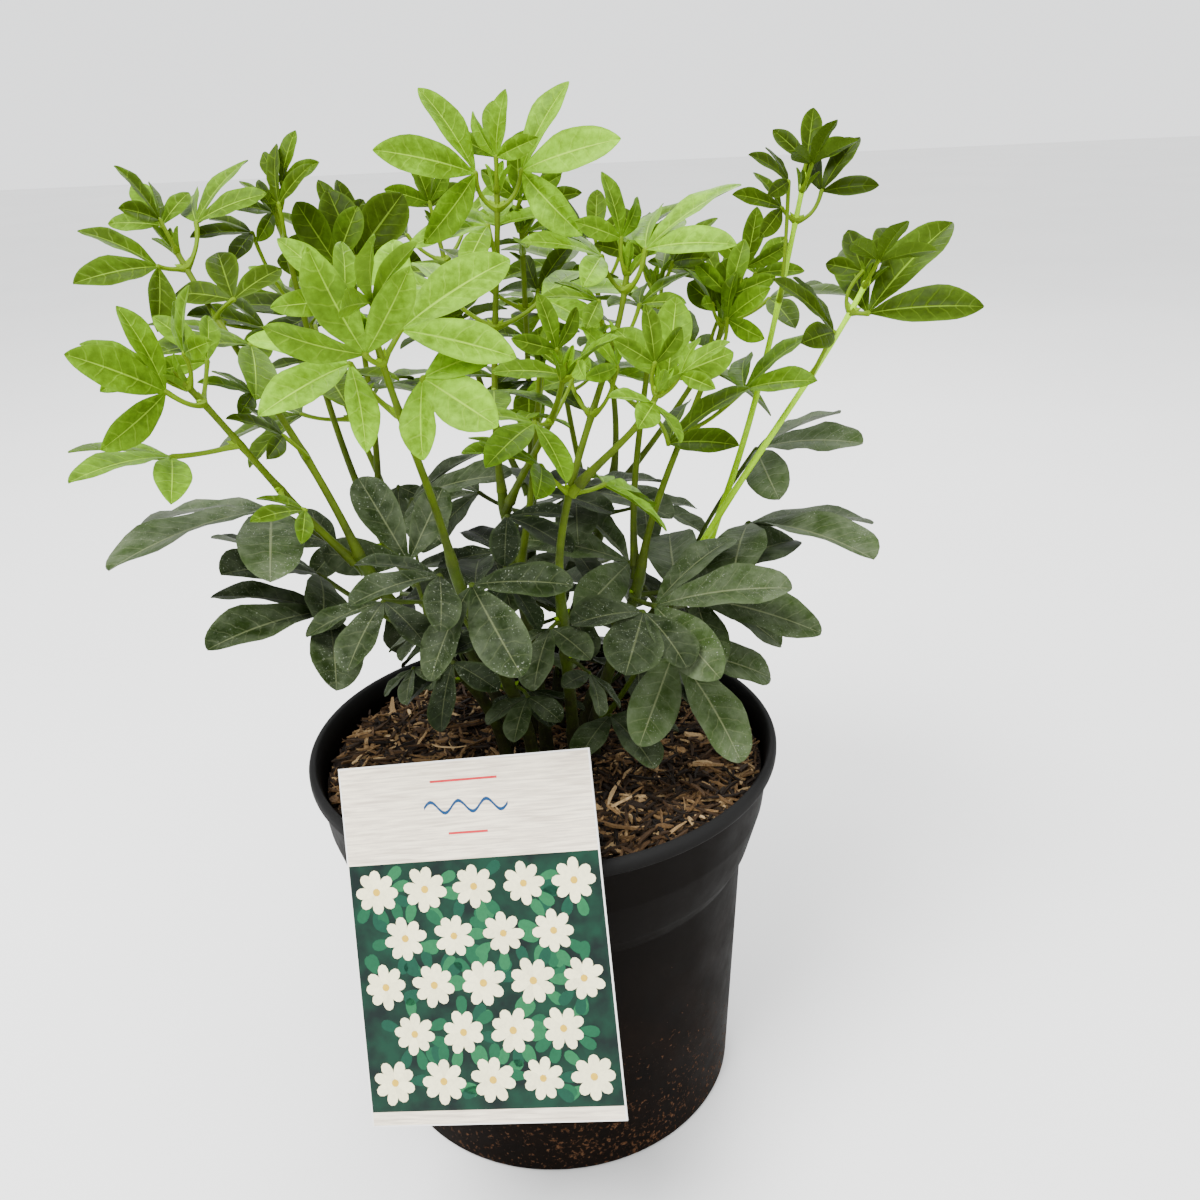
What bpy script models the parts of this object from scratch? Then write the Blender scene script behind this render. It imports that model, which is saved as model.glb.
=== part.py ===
"""Potted mexican orange: a young Choisya ternata in a black nursery pot with a picture label.

Sizes are in millimetres and MM turns them into Blender's metres. The origin is the middle of
the pot's base, +Z is up and the label hangs at the front, on the -Y side.

The plant is planned first and meshed afterwards. Old branches stand in holes in the soil, new
shoots start face to face on them, and every leaf is tried in a few attitudes until one is clear
of all stems, the pot, the label and the leaves placed before it.
"""

import math
from itertools import product

import bmesh
import bpy
from mathutils import Matrix, Vector
from mathutils.bvhtree import BVHTree

MM = 0.001
GAP = 0.3
UP = Vector((0, 0, 1))

# Pot
POT_HEIGHT = 163.0
RIM_RADIUS = 95.0
BASE_RADIUS = 75.0
POT_WALL = 1.8
POT_FLOOR = 2.6
POT_SIDES = 36
DRAIN_HOLES = 6
DRAIN_RADIUS = 5.0
DRAIN_CIRCLE = 54.0

# Soil
SOIL_TOP = 151.0
SOIL_RELIEF = 1.5
SOIL_RINGS = 7
ROOT_DEPTH = 34.0

# Label
CARD_SIZE = (90.0, 124.0)
CARD_THICKNESS = 0.8
CARD_CENTRE = Vector((-26.3, -101.35, 141.4))
CARD_NORMAL = Vector((-0.247, -0.880, 0.406)).normalized()
CARD_ACROSS = Vector((87.1, -18.7, 12.5)).normalized()
TONGUE_WIDTH = 22.0
TONGUE_JOINT = (193.0, 182.0)
TONGUE_SINK = 0.3
TONGUE_LOW = 114.0

# Stems
BRANCH_RADII = (2.7, 2.1)
SHOOT_RADII = (1.5, 1.0)
ARM_LENGTH = 5.0
BUD_LENGTH = 4.5

# Leaves
HUB_RADIUS = 1.15
RIB_HALF = 0.4
STALK_HALF = 0.8
KNEE_FROM = 11.0
SIDE_ANGLE = math.radians(56)
SIDE_SCALE = 0.86
OLD_BREADTH = 0.46
NEW_BREADTH = 0.40
BLADE_FOLD = 0.30
BLADE_DROOP = 0.45
BLADE_STEPS = (0.34, 0.74)
SMALL_BLADE_STEPS = (0.52,)
SMALL_LEAF = 24.0
CLEARANCE = 0.5
LIGHT = Vector((0.01, -0.36, 0.60))


class Shape:
    """Points and triangles of one closed solid. A ring is a list of four point numbers, counter-
    clockwise as seen from the end that the stem or leaf grows towards."""

    def __init__(self):
        self.points = []
        self.faces = []

    def ring(self, points):
        first = len(self.points)
        self.points += points
        return list(range(first, first + len(points)))

    def tube(self, low, high, open_sides=()):
        for i in range(4):
            j = (i + 1) % 4
            if i not in open_sides:
                self.faces += [(low[i], low[j], high[j]), (low[i], high[j], high[i])]

    def blade(self, low, high):
        """Skin between two rings (left edge, upper rib, right edge, lower rib), split alike above
        and below so that a thin blade never crosses itself."""
        l0, t0, r0, b0 = low
        l1, t1, r1, b1 = high
        self.faces += [(l0, t0, l1), (t0, t1, l1), (t0, r0, r1), (t0, r1, t1)]
        self.faces += [(r0, b0, r1), (b0, b1, r1), (b0, l0, l1), (b0, l1, b1)]

    def tip(self, ring, place):
        self.points.append(place)
        last = len(self.points) - 1
        self.faces += [(ring[i], ring[(i + 1) % 4], last) for i in range(4)]

    def flat(self, ring):
        a, b, c, d = ring
        self.faces += [(a, b, c), (a, c, d)]

    def tree(self):
        return BVHTree.FromPolygons(self.points, self.faces)


def square_to(vector, axis):
    """The part of a vector square to an axis, at unit length."""
    return (vector - axis * vector.dot(axis)).normalized()


def turned(vector, axis, angle):
    return Matrix.Rotation(angle, 3, axis) @ vector


def best_match(points, ring, ends):
    """The ring rotated so that joining it to the end points twists least."""
    middle = sum((points[i] for i in ring), Vector()) / 4
    goal = sum((points[i] for i in ends), Vector()) / 4

    def twist(shift):
        pairs = zip(ring[shift:] + ring[:shift], ends)
        return sum(((points[i] - middle).normalized() - (points[j] - goal).normalized()).length
                   for i, j in pairs)

    shift = min(range(4), key=twist)
    return ring[shift:] + ring[:shift]


def half_width(t, length, breadth):
    return 0.5 * breadth * length * math.sin(math.pi * t ** 1.25) ** 0.9


class Leaf:
    """Three leaflets on a stalk. forward is the middle leaflet's direction, normal its face and
    breadth the width of a leaflet for its length."""

    def __init__(self, foot, out, hub, forward, normal, length, breadth):
        self.foot = foot
        self.out = out
        self.hub = hub
        self.knee = None
        self.forward = forward
        self.normal = normal
        self.length = length
        self.breadth = breadth

    def bend_stalk(self):
        """Lets a long stalk leave the stem square to it and then turn to its hub."""
        stalk = self.hub - self.foot
        if stalk.length > KNEE_FROM:
            self.knee = self.foot + self.out * 5.5 + stalk * 0.2

    def aim_chord(self):
        """Lifts the blade and lengthens it, so that its arch ends where forward pointed."""
        bend = BLADE_DROOP / 2
        side = self.forward.cross(self.normal)
        self.forward = turned(self.forward, side, bend)
        self.normal = turned(self.normal, side, bend)
        self.length *= bend / math.sin(bend)

    def hub_points(self, grow):
        left = self.normal.cross(self.forward)
        radius = HUB_RADIUS + grow

        def around(degrees):
            a = math.radians(degrees)
            return self.hub + (self.forward * math.cos(a) + left * math.sin(a)) * radius

        rise = self.normal * (0.6 + grow)
        return [self.hub - rise, self.hub + rise] + [around(a) for a in (120, 28, -28, -120)]

    def leaflet(self, shape, start, angle, length, grow):
        along = turned(self.forward, self.normal, angle)
        side = along.cross(self.normal)
        ring = start
        for t in BLADE_STEPS if self.length > SMALL_LEAF else SMALL_BLADE_STEPS:
            middle, face = self.rib(along, length, t)
            wide = half_width(t, length, self.breadth) + grow
            rise = face * wide * math.sin(BLADE_FOLD)
            reach = side * wide * math.cos(BLADE_FOLD)
            rib = face * (RIB_HALF + grow)
            points = [middle - reach + rise, middle + rib, middle + reach + rise, middle - rib]
            following = shape.ring(points)
            shape.blade(ring, following)
            ring = following
        shape.tip(ring, self.rib(along, length + grow, 1)[0])

    def rib(self, along, length, t):
        """A point of a leaflet's arched middle rib and the direction that its face looks in."""
        bend = BLADE_DROOP * t
        drop = (1 - math.cos(bend)) / BLADE_DROOP
        middle = self.hub + (along * math.sin(bend) / BLADE_DROOP - self.normal * drop) * length
        return middle, self.normal * math.cos(bend) + along * math.sin(bend)

    def grow(self, shape, foot_ring, grow=0.0):
        if self.knee:
            heading = ((self.hub - self.knee).normalized() + self.out).normalized()
            knee = shape.ring(square_ring(self.knee, heading, UP, STALK_HALF + grow))
            shape.tube(best_match(shape.points, foot_ring, knee), knee)
            foot_ring = knee
        low, top, a, b, c, d = shape.ring(self.hub_points(grow))
        ends = [low, a, top, d]
        shape.tube(best_match(shape.points, foot_ring, ends), ends)
        self.leaflet(shape, [a, top, b, low], SIDE_ANGLE, self.length * SIDE_SCALE, grow)
        self.leaflet(shape, [b, top, c, low], 0.0, self.length, grow)
        self.leaflet(shape, [c, top, d, low], -SIDE_ANGLE, self.length * SIDE_SCALE, grow)

    def test_shape(self, skip):
        """A slightly fat copy that starts a few millimetres off the stem."""
        shape = Shape()
        stalk = self.hub - self.foot
        heading = self.out if self.knee else stalk.normalized()
        place = self.foot + heading * min(skip, stalk.length * 0.7)
        ring = shape.ring(square_ring(place, heading, UP, STALK_HALF + CLEARANCE))
        shape.flat(ring[::-1])
        self.grow(shape, ring, CLEARANCE)
        return shape


def square_ring(place, heading, upward, half):
    """Corners of a square across a heading: lower left, lower right, upper right, upper left,
    as seen from its outer side."""
    if abs(heading.dot(upward)) > 0.98:
        upward = Vector((1, 0, 0))
    w = square_to(upward, heading)
    r = w.cross(heading)
    return [place + (r * i + w * j) * half for i, j in ((-1, -1), (1, -1), (1, 1), (-1, 1))]


class Arm:
    """A short side arm of a stem, which the next shoot stands on face to face."""

    def __init__(self, place, heading, upward, half):
        self.end = place + heading * ARM_LENGTH
        self.heading = heading
        self.corners = square_ring(self.end, heading, upward, half)

    def grow(self, shape, foot_ring):
        ring = shape.ring(self.corners)
        shape.tube(best_match(shape.points, foot_ring, ring), ring)
        shape.flat(ring)


class Stem:
    """A square stem on a cubic curve. nodes maps a place along it to what grows on its sides."""

    def __init__(self, name, start, heading, end, finish, radii, compass, root=0.0):
        reach = (end - start).length
        self.name = name
        self.bend = (start, start + heading * reach * 0.36, end - finish * reach * 0.30, end)
        self.radii = radii
        self.compass = math.radians(compass)
        self.root = root
        self.nodes = {}

    def place(self, t):
        a, b, c, d = self.bend
        s = 1 - t
        return a * s ** 3 + b * (3 * s * s * t) + c * (3 * s * t * t) + d * t ** 3

    def heading(self, t):
        a, b, c, d = self.bend
        s = 1 - t
        return ((b - a) * (s * s) + (c - b) * (2 * s * t) + (d - c) * (t * t)).normalized()

    def half(self, t):
        return 0.85 * (self.radii[0] + (self.radii[1] - self.radii[0]) * t)

    def sides(self, t):
        """The two side directions at t, carried along the curve from its start."""
        aim = Vector((math.cos(self.compass), math.sin(self.compass), 0.001))
        heading = self.heading(0)
        u = square_to(aim, heading)
        steps = 12
        for i in range(1, steps + 1):
            heading = self.heading(t * i / steps)
            u = square_to(u, heading)
        return u, heading.cross(u)

    def outward(self, t):
        """Outward directions of the four sides, in the order of the ring's corners."""
        u, v = self.sides(t)
        return [v, -u, -v, u]

    def station(self, t, shift=0.0, grow=0.0):
        u, v = self.sides(t)
        middle = self.place(t) + self.heading(t) * shift
        half = self.half(t) + grow
        return [middle + (u * i + v * j) * half for i, j in ((1, 1), (-1, 1), (-1, -1), (1, -1))]

    def pair_sides(self, number):
        return (3, 1) if number % 2 == 0 else (0, 2)

    def build(self, bud):
        """The stem with all that grows on it, as one closed shape."""
        shape = Shape()
        ring = shape.ring(self.station(0, -self.root))
        shape.flat(ring[::-1])
        if self.root:
            ring = self.extend(shape, ring, self.station(0))
        at = 0.0
        for t in sorted(self.nodes):
            if t - at > 0.28:
                ring = self.extend(shape, ring, self.station((t + at) / 2))
            half = self.half(t)
            shift = -2 * half if t == 1 else -half
            low = self.extend(shape, ring, self.station(t, shift))
            ring = shape.ring(self.station(t, shift + 2 * half))
            items = self.nodes[t]
            shape.tube(low, ring, items)
            for side, item in items.items():
                j = (side + 1) % 4
                item.grow(shape, [low[side], low[j], ring[j], ring[side]])
            at = t
        if at < 1:
            ring = self.extend(shape, ring, self.station(1))
        if bud:
            shape.tip(ring, self.place(1) + self.heading(1) * BUD_LENGTH)
        else:
            shape.flat(ring)
        return shape

    def extend(self, shape, ring, corners):
        following = shape.ring(corners)
        shape.tube(ring, following)
        return following

    def bare(self, grow=CLEARANCE):
        """The slightly fat stem alone, with its arms, which leaves stay clear of."""
        shape = Shape()
        steps = 10
        ring = shape.ring(self.station(0, 0, grow))
        for i in range(1, steps + 1):
            ring = self.extend(shape, ring, self.station(i / steps, 0, grow))
        for items in self.nodes.values():
            for item in items.values():
                if isinstance(item, Arm):
                    foot = item.end - item.heading * ARM_LENGTH
                    low = shape.ring(square_ring(foot, item.heading, UP, 1.3 + grow))
                    self.extend(shape, low, square_ring(item.end, item.heading, UP, 1.3 + grow))
        return obstacle(shape)


# Branches: foot on the soil, far end, compass of the first pair of leaves, and the length of
# their middle leaflets.
BRANCHES = {
    "branch_left": ((-15, -9), (-60, -40, 262), 150, 46),
    "branch_front_left": ((-4, -19), (-27, -55, 262), 80, 46),
    "branch_front_right": ((12, -17), (9, -44, 246), 130, 48),
    "branch_right": ((20, -3), (42, -4, 236), 130, 50),
    "branch_back_right": ((17, 13), (73, 22, 236), 50, 48),
    "branch_back_middle": ((6, 26), (38, 74, 248), 60, 46),
    "branch_back": ((-5, 18), (2, 58, 255), 80, 46),
    "branch_back_left": ((-14, 8), (-66, 38, 252), 120, 46),
    "branch_middle": ((1, -1), (-10, 8, 266), 130, 44),
}
BRANCH_PLACES = (0.20, 0.42, 0.64, 0.84)
BRANCH_RISES = (14, 10, 16, 24)

# Shoots: what they stand on, where on it (1 is its end), the end, lift of the end towards
# upright, compass of the first pair, how many pairs, and the length of the largest leaflets.
SHOOTS = {
    "shoot_far_left": ("branch_left", 1.0, (-115, 3, 360), 0.1, 110, 5, 36),
    "shoot_left_front": ("branch_left", 0.93, (-102, -60, 327), 0.0, 80, 4, 36),
    "shoot_front": ("branch_front_left", 1.0, (-39, -98, 346), 0.4, 60, 4, 40),
    "shoot_tall": ("branch_front_right", 1.0, (39, -9, 347), 1.0, 40, 5, 38),
    "shoot_tall_side": ("shoot_tall", 0.30, (44, -50, 314), 0.8, 70, 2, 32),
    "shoot_right": ("branch_right", 1.0, (76, 13, 323), 0.4, 30, 3, 36),
    "shoot_far_right": ("branch_back_right", 0.80, (129, 12, 335), 0.2, 160, 4, 40),
    "shoot_right_back": ("branch_back_right", 1.0, (111, 40, 367), 0.3, 0, 4, 36),
    "shoot_middle_right": ("branch_right", 0.93, (52, 22, 336), 0.8, 150, 3, 38),
    "shoot_top": ("branch_middle", 1.0, (-4, 15, 374), 0.3, 90, 5, 38),
    "shoot_centre": ("branch_middle", 0.93, (14, -42, 319), 0.6, 60, 2, 32),
    "shoot_centre_left": ("branch_middle", 0.70, (7, -8, 316), 0.6, 80, 2, 30),
    "shoot_top_back": ("branch_back", 1.0, (4, 43, 357), 0.6, 90, 4, 36),
    "shoot_left_top": ("branch_back_left", 1.0, (-84, 30, 369), 0.3, 110, 4, 38),
    "shoot_left_middle": ("branch_back_left", 0.93, (-63, 56, 346), 0.4, 90, 4, 38),
    "shoot_back_left": ("branch_back_left", 0.76, (-88, 92, 318), 0.3, 170, 3, 42),
    "shoot_back": ("branch_back", 0.93, (-31, 96, 352), 0.4, 100, 3, 40),
    "shoot_back_middle": ("branch_back_middle", 1.0, (36, 112, 332), 0.5, 60, 3, 42),
    "shoot_back_right": ("branch_back_middle", 0.93, (96, 88, 320), 0.4, 40, 3, 42),
    "shoot_back_high": ("branch_back_middle", 0.76, (16, 128, 318), 0.4, 40, 3, 42),
}

PAIR_PLACES = {2: (0.70, 1.0), 3: (0.55, 0.88, 1.0), 4: (0.42, 0.68, 0.91, 1.0),
               5: (0.30, 0.54, 0.76, 0.94, 1.0)}
PAIR_SIZES = {2: (1.0, 0.6), 3: (1.0, 0.9, 0.6), 4: (0.9, 1.0, 0.9, 0.6),
              5: (0.85, 1.0, 0.9, 0.9, 0.6)}
PAIR_RISES = {2: (42, 68), 3: (34, 50, 70), 4: (26, 38, 52, 70), 5: (22, 34, 44, 52, 72)}

# Pairs whose leaves the plant has shed, except for those that are set by hand.
SHED_PAIRS = {
    "branch_left": (0,), "branch_front_left": (0,), "branch_front_right": (0, 1, 2),
    "branch_right": (0, 1), "branch_back_right": (1,), "branch_back_left": (0, 1),
    "shoot_front": (0, 1), "shoot_left_front": (0, 1), "shoot_far_left": (0, 1, 2),
    "shoot_far_right": (0, 1), "shoot_right_back": (0, 1),
}

# Leaves set by hand: the stem, the place of the hub and of the middle leaflet's tip, the turn
# of the blade about its length in degrees, and how broad it is beside its neighbours.
AIMED = [
    ("shoot_far_left", (-120, -4, 356), (-141, -28, 355), -45, 1),
    ("shoot_far_left", (-95, -12, 345), (-96, 12, 355), 5, 1.15),
    ("shoot_far_left", (-91, -20, 331), (-119, -44, 345), -25, 1),
    ("shoot_far_left", (-88, 8, 333), (-110, -9, 341), -35, 1.1),
    ("shoot_far_left", (-92, -18, 314), (-107, -29, 321), -25, 1),
    ("shoot_far_left", (-79, -42, 305), (-95, -53, 312), -20, 1),
    ("shoot_left_front", (-112, -56, 304), (-135, -86, 307), 0, 1),
    ("shoot_left_front", (-107, -66, 327), (-128, -86, 342), -55, 1),
    ("shoot_left_front", (-100, -46, 331), (-118, -41, 342), 5, 1),
    ("shoot_left_front", (-72, -60, 285), (-87, -72, 286), -5, 1),
    ("shoot_front", (-42, -100, 342), (-60, -112, 367), -55, 1.05),
    ("shoot_front", (-49, -82, 336), (-72, -106, 328), -20, 1),
    ("shoot_front", (-33, -88, 346), (-2, -71, 363), 15, 1),
    ("shoot_front", (-28, -88, 332), (-8, -102, 319), 30, 1.4),
    ("shoot_tall", (31, -2, 352), (3, -12, 359), -5, 1),
    ("shoot_tall", (45, -14, 355), (79, -3, 374), -10, 1),
    ("shoot_tall", (28, -22, 340), (8, -29, 343), -10, 1),
    ("shoot_tall", (43, -10, 336), (61, -3, 345), -10, 1),
    ("shoot_tall", (33, -30, 319), (21, -35, 334), -40, 1),
    ("shoot_middle_right", (57, 36, 341), (82, 44, 350), -5, 1),
    ("shoot_middle_right", (57, 0, 282), (87, 12, 300), -10, 1),
    ("shoot_right", (77, 18, 327), (80, 28, 344), -10, 1.5),
    ("shoot_right", (77, 8, 326), (91, -1, 338), 55, 1.1),
    ("shoot_right", (62, -1, 311), (92, 9, 326), -20, 1),
    ("shoot_right", (84, 10, 299), (112, 20, 317), -20, 1),
    ("shoot_tall_side", (49, -38, 316), (56, -23, 340), -10, 1.15),
    ("shoot_tall_side", (42, -58, 313), (35, -76, 310), -10, 1.3),
    ("shoot_centre", (25, -24, 318), (40, -31, 326), -15, 1),
    ("shoot_centre_left", (9, -2, 319), (13, 6, 330), -25, 1),
    ("shoot_right_back", (103, 38, 361), (83, 33, 367), -30, 1),
    ("shoot_right_back", (119, 42, 366), (136, 48, 384), 0, 1),
    ("shoot_right_back", (104, 32, 371), (88, 28, 382), -20, 1),
    ("shoot_far_right", (116, 4, 320), (89, -2, 337), -5, 1),
    ("shoot_far_right", (130, 10, 325), (162, 22, 359), -10, 1),
    ("shoot_far_right", (128, 12, 340), (125, 22, 354), -45, 1.25),
    ("shoot_left_top", (-82, 24, 372), (-81, 34, 392), -35, 0.9),
    ("shoot_left_top", (-87, 38, 368), (-102, 27, 373), -30, 1),
    ("shoot_left_top", (-94, 30, 362), (-111, 16, 362), -5, 1),
    ("shoot_left_top", (-66, 36, 349), (-81, 45, 369), -30, 1.3),
    ("shoot_left_middle", (-63, 64, 350), (-68, 76, 376), 35, 1),
    ("shoot_left_middle", (-60, 50, 349), (-41, 65, 370), 50, 1.4),
    ("shoot_left_middle", (-57, 50, 343), (-37, 44, 354), 20, 1),
    ("shoot_back_left", (-89, 76, 325), (-110, 61, 333), -40, 1.2),
    ("shoot_top", (-11, 14, 380), (-44, -4, 391), -50, 1),
    ("shoot_top", (5, 16, 380), (40, -2, 386), 50, 1),
    ("shoot_top", (-8, 8, 363), (-34, -5, 365), -5, 1.1),
    ("shoot_top_back", (6, 52, 355), (22, 58, 358), 10, 1),
    ("shoot_top_back", (9, 50, 333), (23, 60, 350), -5, 0.9),
    ("branch_front_right", (5, -46, 231), (-4, -70, 219), 25, 1.1),
    ("branch_front_right", (38, -46, 235), (28, -72, 221), -10, 1.6),
    ("branch_front_right", (26, -26, 183), (40, -54, 175), -15, 1.1),
    ("branch_front_right", (18, -44, 211), (20, -62, 203), -40, 1),
    ("branch_back_right", (95, 41, 266), (130, 10, 274), 15, 1),
    ("branch_back_right", (89, 24, 240), (129, -24, 241), 0, 1),
    ("branch_right", (56, -8, 226), (114, 11, 249), -10, 0.95),
    ("branch_right", (44, -28, 229), (86, -56, 240), 5, 1),
    ("branch_left", (-72, -48, 244), (-103, -82, 246), -5, 1),
    ("branch_left", (-77, -26, 249), (-109, -59, 253), -10, 1),
    ("branch_left", (-88, -20, 276), (-122, -70, 271), 15, 1),
    ("branch_left", (-42, -33, 253), (-66, -16, 273), 0, 1),
    ("branch_left", (-36, -11, 220), (-43, -33, 209), 25, 0.9),
    ("branch_left", (-47, -26, 209), (-50, -42, 202), 20, 1),
    ("branch_back_left", (-77, 22, 242), (-97, 11, 253), -25, 1.2),
    ("branch_back_left", (-53, 42, 259), (-51, 30, 248), 10, 1.2),
    ("branch_front_left", (-30, -74, 265), (-57, -94, 266), 10, 1),
    ("branch_front_left", (-20, -74, 261), (-3, -105, 244), 15, 1),
    ("branch_front_left", (-50, -64, 253), (-61, -92, 242), 5, 1),
    ("branch_front_left", (-5, -38, 200), (-10, -57, 192), 10, 1.2),
    ("branch_front_left", (-30, -26, 214), (-28, -51, 201), 20, 1),
    ("branch_middle", (-3, -7, 186), (3, -31, 176), -15, 1.1),
    ("branch_middle", (-8, -24, 266), (14, -41, 257), -5, 1),
    ("branch_middle", (-4, -34, 245), (7, -52, 234), -25, 1),
]

YAWS = (0, 14, -14, 28, -28, 42, -42, 56, -56)
PITCHES = (0, 12, -12, 24, -24, 36)
SCALES = (1.0, 0.85, 0.7)
SMALL_TURNS = (0, 8, -8, 16, -16)


class Obstacle:
    """A solid that leaves stay clear of, with its box for a quick first test."""

    def __init__(self, points, tree):
        self.low = [min(p[i] for p in points) for i in range(3)]
        self.high = [max(p[i] for p in points) for i in range(3)]
        self.tree = tree

    def hits(self, other):
        for i in range(3):
            if self.low[i] > other.high[i] or self.high[i] < other.low[i]:
                return False
        return bool(self.tree.overlap(other.tree))


def obstacle(shape):
    return Obstacle(shape.points, shape.tree())


def clear_of_pot(points):
    """Leaves stay over the soil and the rim, or hang clear outside them."""
    for p in points:
        r = math.hypot(p.x, p.y)
        floor = SOIL_TOP + 4 if r < RIM_RADIUS - 8 else POT_HEIGHT + 2.5
        if r < RIM_RADIUS + 3 and p.z < floor:
            return False
    return True


class Plan:
    """All stems and leaves of the plant, placed one after another."""

    def __init__(self):
        self.stems = {}
        self.obstacles = [card_obstacle()]
        self.missed = []
        self.plan_branches()
        self.plan_shoots()
        for stem in self.stems.values():
            self.obstacles.append(stem.bare())
        self.place_aimed()
        self.place_pairs()

    def plan_branches(self):
        for name, (foot, end, compass, _) in BRANCHES.items():
            start = Vector((foot[0], foot[1], SOIL_TOP))
            end = Vector(end)
            finish = ((end - start).normalized() + UP * 0.5).normalized()
            self.stems[name] = Stem(name, start, UP, end, finish, BRANCH_RADII, compass, ROOT_DEPTH)

    def plan_shoots(self):
        for name, (parent, t, end, lift, compass, _, _) in SHOOTS.items():
            start, heading = self.seat(self.stems[parent], t, Vector(end))
            finish = ((Vector(end) - start).normalized() + UP * lift).normalized()
            stem = Stem(name, start, heading, Vector(end), finish, SHOOT_RADII, compass)
            self.stems[name] = stem

    def seat(self, parent, t, end):
        """Where a shoot starts: on its parent's flat end, or on an arm at its side."""
        if t == 1:
            return parent.place(1) + parent.heading(1) * GAP, parent.heading(1)
        axis = parent.heading(t)
        place = parent.place(t)
        goal = (end - place).normalized()
        outward = parent.outward(t)
        taken = parent.nodes.setdefault(t, {})
        free = [i for i in range(4) if i not in taken]
        side = max(free, key=lambda i: outward[i].dot(goal))
        heading = (goal + axis * 0.5 + outward[side] * 0.4).normalized()
        half = 0.85 * SHOOT_RADII[0]
        arm = Arm(place + outward[side] * parent.half(t), heading, axis, half)
        taken[side] = arm
        return arm.end + heading * GAP, heading

    def pair_rows(self, name):
        """Place, number, leaflet length and rise of each pair on a stem."""
        if name in BRANCHES:
            size = BRANCHES[name][3]
            rows = enumerate(zip(BRANCH_PLACES, BRANCH_RISES))
            return [(t, k, size, rise) for k, (t, rise) in rows]
        _, _, _, _, _, count, size = SHOOTS[name]
        rows = zip(PAIR_PLACES[count], PAIR_SIZES[count], PAIR_RISES[count])
        return [(t, k, size * scale, rise) for k, (t, scale, rise) in enumerate(rows)]

    def place_aimed(self):
        for name, hub, tip, roll, scale in AIMED:
            stem = self.stems[name]
            hub = Vector(hub)
            for t, side in self.free_sides(stem, hub):
                leaves = aimed_attitudes(stem, t, side, hub, Vector(tip), roll, scale)
                if self.settle(stem, t, side, leaves):
                    break
            else:
                self.missed.append((name, hub, roll))

    def free_sides(self, stem, hub):
        """The free leaf places that a stalk to the hub could come from, the most natural first."""
        free = []
        for t, number, _, _ in self.pair_rows(stem.name):
            for side in stem.pair_sides(number):
                if t < 1 and side not in stem.nodes.get(t, {}):
                    free.append((self.stalk_cost(stem, t, side, hub), t, side))
        return [(t, side) for cost, t, side in sorted(free) if cost < 90]

    def stalk_cost(self, stem, t, side, hub):
        stalk = hub - stem.place(t)
        heading = stalk.normalized()
        aside = stem.outward(t)[side].dot(heading)
        back = max(0.0, 0.1 - stem.heading(t).dot(heading))
        through = 60 if aside < 0.2 else 0
        return stalk.length + 15 * (1 - aside) + 25 * back + through

    def place_pairs(self):
        for name, stem in self.stems.items():
            for t, number, length, rise in self.pair_rows(name):
                for side in stem.pair_sides(number):
                    taken = stem.nodes.get(t, {})
                    if side in taken or number in SHED_PAIRS.get(name, ()):
                        continue
                    old = name in BRANCHES
                    leaves = rule_attitudes(stem, t, side, length, rise, old)
                    if not self.settle(stem, t, side, leaves):
                        self.missed.append((name, t, side))

    def settle(self, stem, t, side, leaves):
        for leaf in leaves:
            shape = leaf.test_shape(3.5)
            if not clear_of_pot(shape.points):
                continue
            body = obstacle(shape)
            if not any(body.hits(other) for other in self.obstacles):
                stem.nodes.setdefault(t, {})[side] = leaf
                self.obstacles.append(body)
                return True
        return False


def blade_normal(forward, axis):
    """Blades face along their stem and towards the light, which comes from above the label."""
    return square_to(axis * 0.45 + LIGHT, forward)


def rule_attitudes(stem, t, side, length, rise, old):
    """A leaf square to its stem first, then turned, raised and made smaller little by little."""
    axis = stem.heading(t)
    out = stem.outward(t)[side]
    drop = 30 if old else 16 if rise < 60 else 2
    tries = sorted(product(YAWS, PITCHES, SCALES), key=lambda a: abs(a[0]) + abs(a[1]) - 80 * a[2])
    for yaw, pitch, scale in tries:
        aside = turned(out, axis, math.radians(yaw))
        stalk = math.radians(rise + pitch)
        blade = math.radians(rise + pitch - drop)
        foot = stem.place(t) + out * stem.half(t)
        size = length * scale
        hub = foot + (aside * math.cos(stalk) + axis * math.sin(stalk)) * size * 0.5
        forward = (aside * math.cos(blade) + axis * math.sin(blade)).normalized()
        normal = blade_normal(forward, axis)
        yield Leaf(foot, out, hub, forward, normal, size, OLD_BREADTH if old else NEW_BREADTH)


def aimed_attitudes(stem, t, side, hub, tip, roll, scale):
    """A leaf at its given hub and tip first, then with its blade and its stalk turned a little."""
    axis = stem.heading(t)
    out = stem.outward(t)[side]
    foot = stem.place(t) + out * stem.half(t)
    breadth = scale * (OLD_BREADTH if stem.root else NEW_BREADTH)
    tries = sorted(product(SMALL_TURNS, repeat=3), key=lambda a: sum(abs(turn) for turn in a))
    for swing, yaw, pitch in tries:
        moved = foot + turned(hub - foot, axis, math.radians(swing))
        chord = turned(tip - hub, UP, math.radians(yaw))
        level = chord.cross(UP).normalized()
        chord = turned(chord, level, math.radians(pitch))
        forward = chord.normalized()
        normal = turned(blade_normal(forward, axis), forward, math.radians(roll))
        leaf = Leaf(foot, out, moved, forward, normal, chord.length, breadth)
        leaf.bend_stalk()
        leaf.aim_chord()
        yield leaf


def card_frame():
    across = square_to(CARD_ACROSS, CARD_NORMAL)
    return across, CARD_NORMAL.cross(across)


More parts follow.
